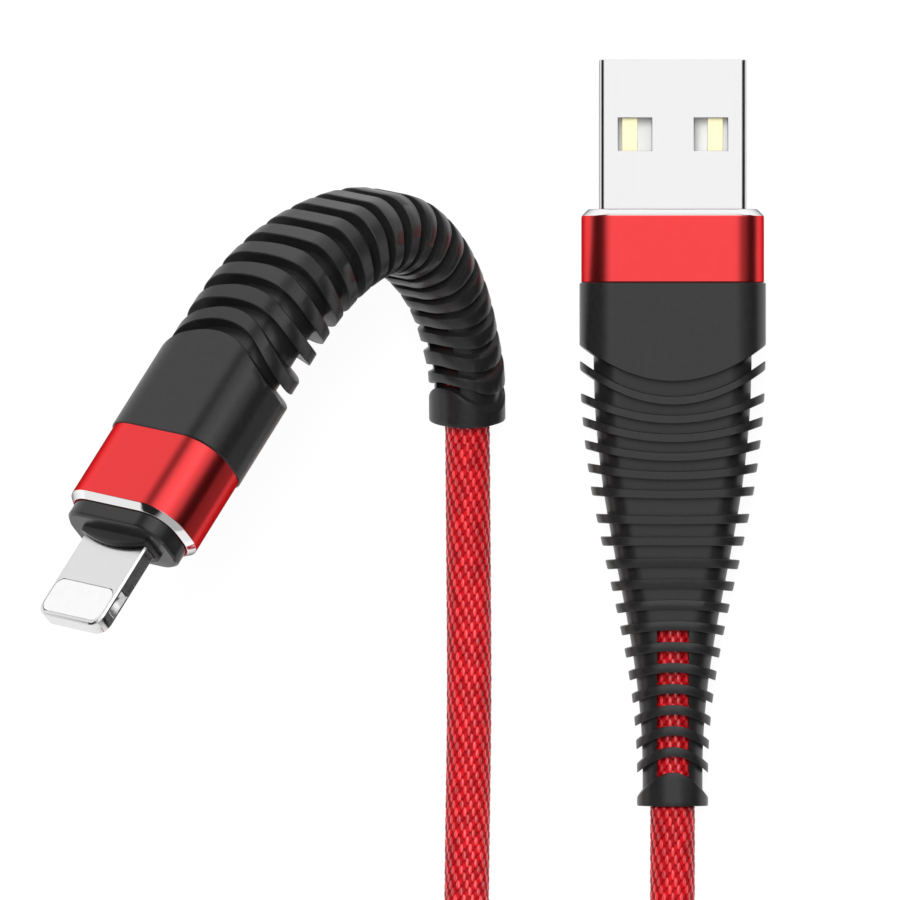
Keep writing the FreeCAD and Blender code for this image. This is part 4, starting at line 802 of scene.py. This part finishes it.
def loopAt(share, halfAcross, halfHigh, corner):
    # places round a rounded rectangle, by share of its length from the middle of its top, and the way out
    # there: straights along (cos, -sin) of the turn so far, corners by corner * (sin, cos) of the angle
    flat, rise, arc = halfAcross - corner, halfHigh - corner, corner * np.pi / 2
    ends = np.cumsum([0, flat, arc, 2 * rise, arc, 2 * flat, arc, 2 * rise, arc, flat])
    run = (share % 1) * ends[-1]
    leg = np.clip(np.searchsorted(ends, run, side="right") - 1, 0, 8)
    past = run - ends[leg]
    turn = np.array([0, 0, 1, 1, 2, 2, 3, 3, 4])[leg] * np.pi / 2
    bend = np.where(leg % 2 == 1, past / corner, 0)
    startX = np.array([0, flat, halfAcross, halfAcross, flat, -flat, -halfAcross, -halfAcross, -flat])[leg]
    startZ = np.array([halfHigh, halfHigh, rise, -rise, -halfHigh, -halfHigh, -rise, rise, halfHigh])[leg]
    straight = np.where(leg % 2 == 1, 0, past)
    x = startX + straight * np.cos(turn) + corner * (np.sin(turn + bend) - np.sin(turn))
    z = startZ - straight * np.sin(turn) + corner * (np.cos(turn + bend) - np.cos(turn))
    return np.stack([x, 0 * x, z], -1), np.stack([np.sin(turn + bend), 0 * x, np.cos(turn + bend)], -1)


def strapPiece(name, node, material):
    # the tape's section carried round the loop; its last stretch climbs onto the first by a smooth step,
    # 3 * lap ^ 2 - 2 * lap ^ 3
    low, high = (np.array(corner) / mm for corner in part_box(node))
    centre, half = (low + high) / 2, (high - low) / 2
    share = np.linspace(0, 1 + strap["overlap"], strap["steps"]) - strap["overlap"] / 2
    lap = np.clip((share - 1 + strap["overlap"] / 2 + strap["lapRun"]) / strap["lapRun"], 0, 1)
    lift = strap["gauge"] * (0.5 + strap["lapRise"] * lap * lap * (3 - 2 * lap)) - strap["inset"]
    places, outward = loopAt(share, half[0], half[2], strap["corner"])
    acrossShares, throughShares = np.array(strap["acrossShares"]), np.array(strap["throughShares"])
    across = np.concatenate([acrossShares, acrossShares[::-1]]) * strap["width"] / 2
    through = np.concatenate([-throughShares, throughShares]) * strap["gauge"]
    tipPast = np.clip((share - share[-1] + strap["tipRun"]) / strap["tipRun"], 0, 1)
    tapered = 1 - strap["tipNarrowing"] * tipPast ** 3
    points = (places[:, None] + outward[:, None] * (lift[:, None, None] + through[None, :, None])
              + np.array([0, 1, 0]) * (across[None] * tapered[:, None])[..., None] + centre)
    runs = np.concatenate([[0], np.cumsum(np.abs(np.diff(across)) + np.abs(np.diff(through)))])
    long = np.concatenate([[0], np.cumsum(np.linalg.norm(np.diff(places, axis=0), axis=1))])
    whole = runs[-1] + 2 * throughShares[0] * strap["gauge"]
    return gridMesh(name, points * mm, runs / whole, long, material)


def tapeMaterial():
    # woven tape: the product of two sines on the lay map, and fine fuzz
    material, tree, shader = newMaterial("strapTape", (0.02, 0.02, 0.022), 0.85, Sheen_Weight=0.3,
                                         Sheen_Roughness=0.5)
    _, around, length = layPlace(tree)
    wide = mathNode(tree, "SINE", mathNode(tree, "MULTIPLY", around, 2 * math.pi * strap["weaveAcross"]))
    long = mathNode(tree, "SINE", mathNode(tree, "MULTIPLY", length, 2 * math.pi / strap["weaveLength"]))
    weave = mathNode(tree, "MULTIPLY", wide, long)
    fuzz = addNode(tree, "ShaderNodeTexNoise", Scale=5200.0, Detail=3.0)
    place = addNode(tree, "ShaderNodeTexCoord")
    tree.links.new(place.outputs["Object"], fuzz.inputs["Vector"])
    height = mathNode(tree, "ADD", mathNode(tree, "MULTIPLY", weave, 0.35), fuzz.outputs["Fac"])
    black = rampNode(tree, height, (0.25, (0.007, 0.007, 0.008)), (0.9, (0.045, 0.045, 0.048)))
    tree.links.new(black, shader.inputs["Base Color"])
    liftNode(tree, shader, height, 0.8, 0.1 * mm)
    return material


strapTape = tapeMaterial()
for side in ("left", "right"):
    piece = strapPiece(side + "Strap", "coil_tie_" + side, strapTape)
    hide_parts("coil_tie_" + side)
    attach(piece, "cord")
print("stage: straps")


# Floor, light and camera

stage = {
    "floorSide": 1.6, "floorDiffuse": 0.12, "floorGlow": 0.93,
    "wall": 0.45,
    "patches": [        # softboxes, and dark screens with a glow below zero: way there, cosines of the angle
                        # from it at full and at none, glow
        ((0, 0.25, 0.97), 0.95, 0.81, 0.75),
        ((0.60, 0.45, 0.66), 0.965, 0.90, 0.85),
        ((0.08, 0.74, 0.67), 0.94, 0.89, 1.0),
        ((0.83, 0, 0.56), 0.86, 0.68, -0.45),
        ((-0.83, 0, 0.56), 0.86, 0.68, -0.45),
        ((-0.16, 0.88, 0.44), 0.86, 0.66, -0.45),
    ],
    "dark": 0.015, "horizon": 0.9, "horizonTop": 0.12, "horizonFade": 0.1,
    "card": ((0.09, -0.15), (0.09, 0.12), 0.07),        # foot corners and height of the card at the right
    "lamp": 2.0, "lampWay": (-0.12, 0.17, 0.98), "lampAngle": 24,
}


def floorMaterial():
    # glows for the camera and in gloss and glass, and only takes the light for all else
    material, tree, shader = newMaterial("paleFloor", (stage["floorDiffuse"],) * 3, 0.9,
                                         Specular_IOR_Level=0.0)
    glow = addNode(tree, "ShaderNodeEmission", Color=(1, 1, 1, 1))
    rays = addNode(tree, "ShaderNodeLightPath").outputs
    mirrored = mathNode(tree, "MAXIMUM", rays["Is Glossy Ray"], rays["Is Transmission Ray"])
    seen = mathNode(tree, "MAXIMUM", rays["Is Camera Ray"], mirrored)
    tree.links.new(mathNode(tree, "MULTIPLY", seen, stage["floorGlow"]), glow.inputs["Strength"])
    both = addNode(tree, "ShaderNodeAddShader")
    tree.links.new(shader.outputs[0], both.inputs[0])
    tree.links.new(glow.outputs[0], both.inputs[1])
    tree.links.new(both.outputs[0], tree.nodes["Material Output"].inputs["Surface"])
    return material


def quadPiece(name, corners, material):
    # one flat face through four corners
    mesh = bpy.data.meshes.new(name)
    mesh.from_pydata(corners, [], [(0, 1, 2, 3)])
    mesh.materials.append(material)
    return addObject(name, mesh)


def flatFloor():
    # a square on z = 0 about the origin
    side = stage["floorSide"] / 2
    corners = [(-side, -side, 0), (side, -side, 0), (side, side, 0), (-side, side, 0)]
    return quadPiece("floor", corners, floorMaterial())


def skyLight():
    # a studio: grey walls, a softbox overhead and two smaller ones behind, dark screens left, right and
    # behind, a pale horizon, and white where the camera looks past the floor
    world = bpy.data.worlds.new("studio")
    world.use_nodes = True
    bpy.context.scene.world = world
    tree = world.node_tree
    back = tree.nodes["Background"]
    way = addNode(tree, "ShaderNodeTexCoord")
    glow = stage["wall"]
    for aim, inner, outer, level in stage["patches"]:
        angle = addNode(tree, "ShaderNodeVectorMath", operation="DOT_PRODUCT")
        angle.inputs[1].default_value = Vector(aim).normalized()
        tree.links.new(way.outputs["Generated"], angle.inputs[0])
        near = spreadNode(tree, angle.outputs["Value"], 0.0, level, outer, inner)
        near.node.interpolation_type = "SMOOTHSTEP"
        glow = mathNode(tree, "ADD", near, glow)
    split = addNode(tree, "ShaderNodeSeparateXYZ")
    tree.links.new(way.outputs["Generated"], split.inputs[0])
    horizon = spreadNode(tree, split.outputs[2], stage["horizon"], 0.0,
                         stage["horizonTop"], stage["horizonTop"] + stage["horizonFade"])
    glow = mathNode(tree, "MAXIMUM", mathNode(tree, "MAXIMUM", glow, stage["dark"]), horizon)
    rays = addNode(tree, "ShaderNodeLightPath")
    glow = mathNode(tree, "MAXIMUM", glow, rays.outputs["Is Camera Ray"])
    tree.links.new(glow, back.inputs["Strength"])
    back.inputs["Color"].default_value = (1, 1, 1, 1)


def darkCard():
    # a black card out of view, there for the metal to mirror
    (firstX, firstY), (lastX, lastY), height = stage["card"]
    corners = [(firstX, firstY, 0), (lastX, lastY, 0), (lastX, lastY, height), (firstX, firstY, height)]
    black, _, _ = newMaterial("blackCard", (0.01, 0.01, 0.01), 0.9, Specular_IOR_Level=0.0)
    card = quadPiece("card", corners, black)
    card.visible_camera = False
    card.visible_shadow = False
    return card


def lampLight():
    # a soft lamp overhead that gloss doesn't mirror
    lamp = bpy.data.lights.new("lamp", "SUN")
    lamp.energy, lamp.angle = stage["lamp"], math.radians(stage["lampAngle"])
    holder = addObject("lamp", lamp)
    holder.rotation_euler = Vector(stage["lampWay"]).to_track_quat("Z", "Y").to_euler()
    holder.visible_glossy = False


flatFloor()
darkCard()
skyLight()
lampLight()
viewpoint = {"place": (-0.0182, -0.01367, 1.121), "lens": 546.2, "sensor": 36.0}
camera = bpy.data.cameras.new("camera")
camera.lens, camera.sensor_width = viewpoint["lens"], viewpoint["sensor"]
cameraHolder = addObject("camera", camera)
cameraHolder.location = viewpoint["place"]
bpy.context.scene.camera = cameraHolder
bpy.context.scene.view_settings.view_transform = "Standard"
print("stage: floor, light and camera")
